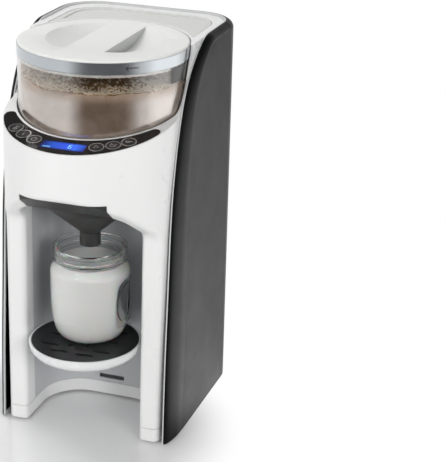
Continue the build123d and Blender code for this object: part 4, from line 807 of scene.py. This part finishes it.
def floor_finish(name):
    """Pale glossy table that turns into plain white away from the machine."""
    material, tree, shader, place = blank_finish(name)
    grey = ramp(tree, clouds(tree, place, 3.0), [(0.3, (0.84,) * 3), (0.7, (0.87,) * 3)])
    give(tree, shader, {"Base Color": grey, "Roughness": 0.14})
    rays = add_node(tree, "LightPath").outputs
    away = vector_calc(tree, "DISTANCE", place, SHADOW_MIDDLE)
    far = eased(tree, away, SHADOW_IN, SHADOW_OUT, curve="SMOOTHSTEP")
    ahead = vector_calc(tree, "NORMALIZE", place)
    facing = vector_calc(tree, "DOT_PRODUCT", ahead, FLAG_SIDE)
    flag = eased(tree, facing, FLAG_IN, FLAG_OUT, 1.0, FLAG_LEFT, curve="SMOOTHSTEP")
    aside = vector_calc(tree, "DOT_PRODUCT", ahead, CARD_SIDE)
    card = eased(tree, aside, CARD_IN, CARD_OUT, high=CARD_GLOW, curve="SMOOTHSTEP")
    white = add_node(tree, "Emission").outputs["Emission"]
    flagged = add_node(tree, "Emission", {"Strength": calc(tree, "ADD", flag, card)})
    near = add_node(tree, "MixShader", {0: calc(tree, "MULTIPLY", far, rays["Is Camera Ray"]),
                                        1: shader.outputs["BSDF"], 2: white})
    both = add_node(tree, "MixShader", {0: calc(tree, "MULTIPLY", far, rays["Is Glossy Ray"]),
                                        1: near.outputs["Shader"],
                                        2: flagged.outputs["Emission"]})
    give(tree, tree.nodes["Material Output"], {"Surface": both.outputs["Shader"]})
    return material


TABLE_HALF, TABLE_DROP = 6.0, 0.0004    # the feet stand just clear of the table
work = bmesh.new()
bmesh.ops.create_grid(work, x_segments=1, y_segments=1, size=TABLE_HALF,
                      matrix=Matrix.Translation((0, 0, -TABLE_DROP)))
floor = piece_from(work, "table_top", floor_finish("pale_table"))

# the surround is seen white, lights softly, and darkens overhead in what mirrors it
SKY_LEVEL, SKY_MIRRORED, SKY_OVERHEAD = 0.42, 0.75, 0.16
world = bpy.data.worlds.new("surround")
bpy.context.scene.world = world
world.use_nodes = True
sky = world.node_tree
rays = add_node(sky, "LightPath").outputs
seen = calc(sky, "MAXIMUM", rays["Is Camera Ray"], rays["Is Transmission Ray"])
height = axis_of(sky, add_node(sky, "TexCoord").outputs["Generated"], "Z")
overhead = eased(sky, height, 0.25, 0.6, SKY_MIRRORED, SKY_OVERHEAD, curve="SMOOTHSTEP")
ambient = add_node(sky, "Mix", {"Factor": rays["Is Glossy Ray"], "A": SKY_LEVEL, "B": overhead})
level = add_node(sky, "Mix", {"Factor": seen, "A": ambient.outputs["Result"], "B": 1.0})
give(sky, sky.nodes["Background"], {"Color": (1, 1, 1, 1), "Strength": level.outputs["Result"]})


def soft_light(name, place, target, size, power, mirrored=False):
    """A rectangle of light aimed at a point, in metres and watts."""
    lamp = bpy.data.lights.new(name, "AREA")
    lamp.shape = "RECTANGLE"
    lamp.size, lamp.size_y = size
    lamp.energy = power
    holder = placed(name, lamp)
    holder.location = place
    holder.rotation_euler = (Vector(target) - Vector(place)).to_track_quat("-Z", "Y").to_euler()
    holder.visible_glossy = mirrored


soft_light("front_light", (-0.35, -1.9, 0.85), (0, 0, 0.22), (1.0, 0.8), 6.4)
soft_light("glint_light", (-0.62, -1.5, 1.25), (0, 0, 0.17), (0.34, 0.22), 3.0, mirrored=True)
soft_light("right_light", (1.2, -1.2, 0.62), (-0.05, -0.05, 0.2), (0.6, 0.6), 9.4)
soft_light("left_light", (-1.5, -0.7, 0.7), (0, 0, 0.25), (0.6, 1.0), 2.7)
soft_light("top_light", (-0.85, 0.45, 1.7), (0, 0, 0.25), (1.0, 1.0), 14.5)

# the camera stands to the right of the front and looks a little down
CAMERA_TURN, CAMERA_RISE, CAMERA_REACH = math.radians(22.44), math.radians(21.54), 1.435
AIM = Vector((0.0, -0.037, 0.190))
AIM_OFF = (-136.5, 7.9)         # aim beside the object, in picture units of the focal length below
FOCAL, LONG_SIDE, ROLL = 1498.0, 462.0, math.radians(-1.73)
SENSOR_WIDTH = 36.0
back = Vector((math.sin(CAMERA_TURN) * math.cos(CAMERA_RISE),
               -math.cos(CAMERA_TURN) * math.cos(CAMERA_RISE), math.sin(CAMERA_RISE)))
side = Vector((math.cos(CAMERA_TURN), math.sin(CAMERA_TURN), 0.0))
pan = Matrix.Rotation(math.atan2(AIM_OFF[0], FOCAL), 3, "Z")
ahead, side = pan @ -back, pan @ side
tilt = Matrix.Rotation(math.atan2(AIM_OFF[1], FOCAL), 3, side)
ahead, up = tilt @ ahead, tilt @ side.cross(ahead)
roll = Matrix.Rotation(ROLL, 3, ahead)
side, up = roll @ side, roll @ up
camera = placed("camera", bpy.data.cameras.new("camera"))
camera.data.lens = FOCAL / LONG_SIDE * SENSOR_WIDTH
camera.matrix_world = Matrix.Translation(AIM + back * CAMERA_REACH) @ Matrix(
    (side, up, -ahead)).transposed().to_4x4()
bpy.context.scene.camera = camera
bpy.context.scene.view_settings.view_transform = "Standard"
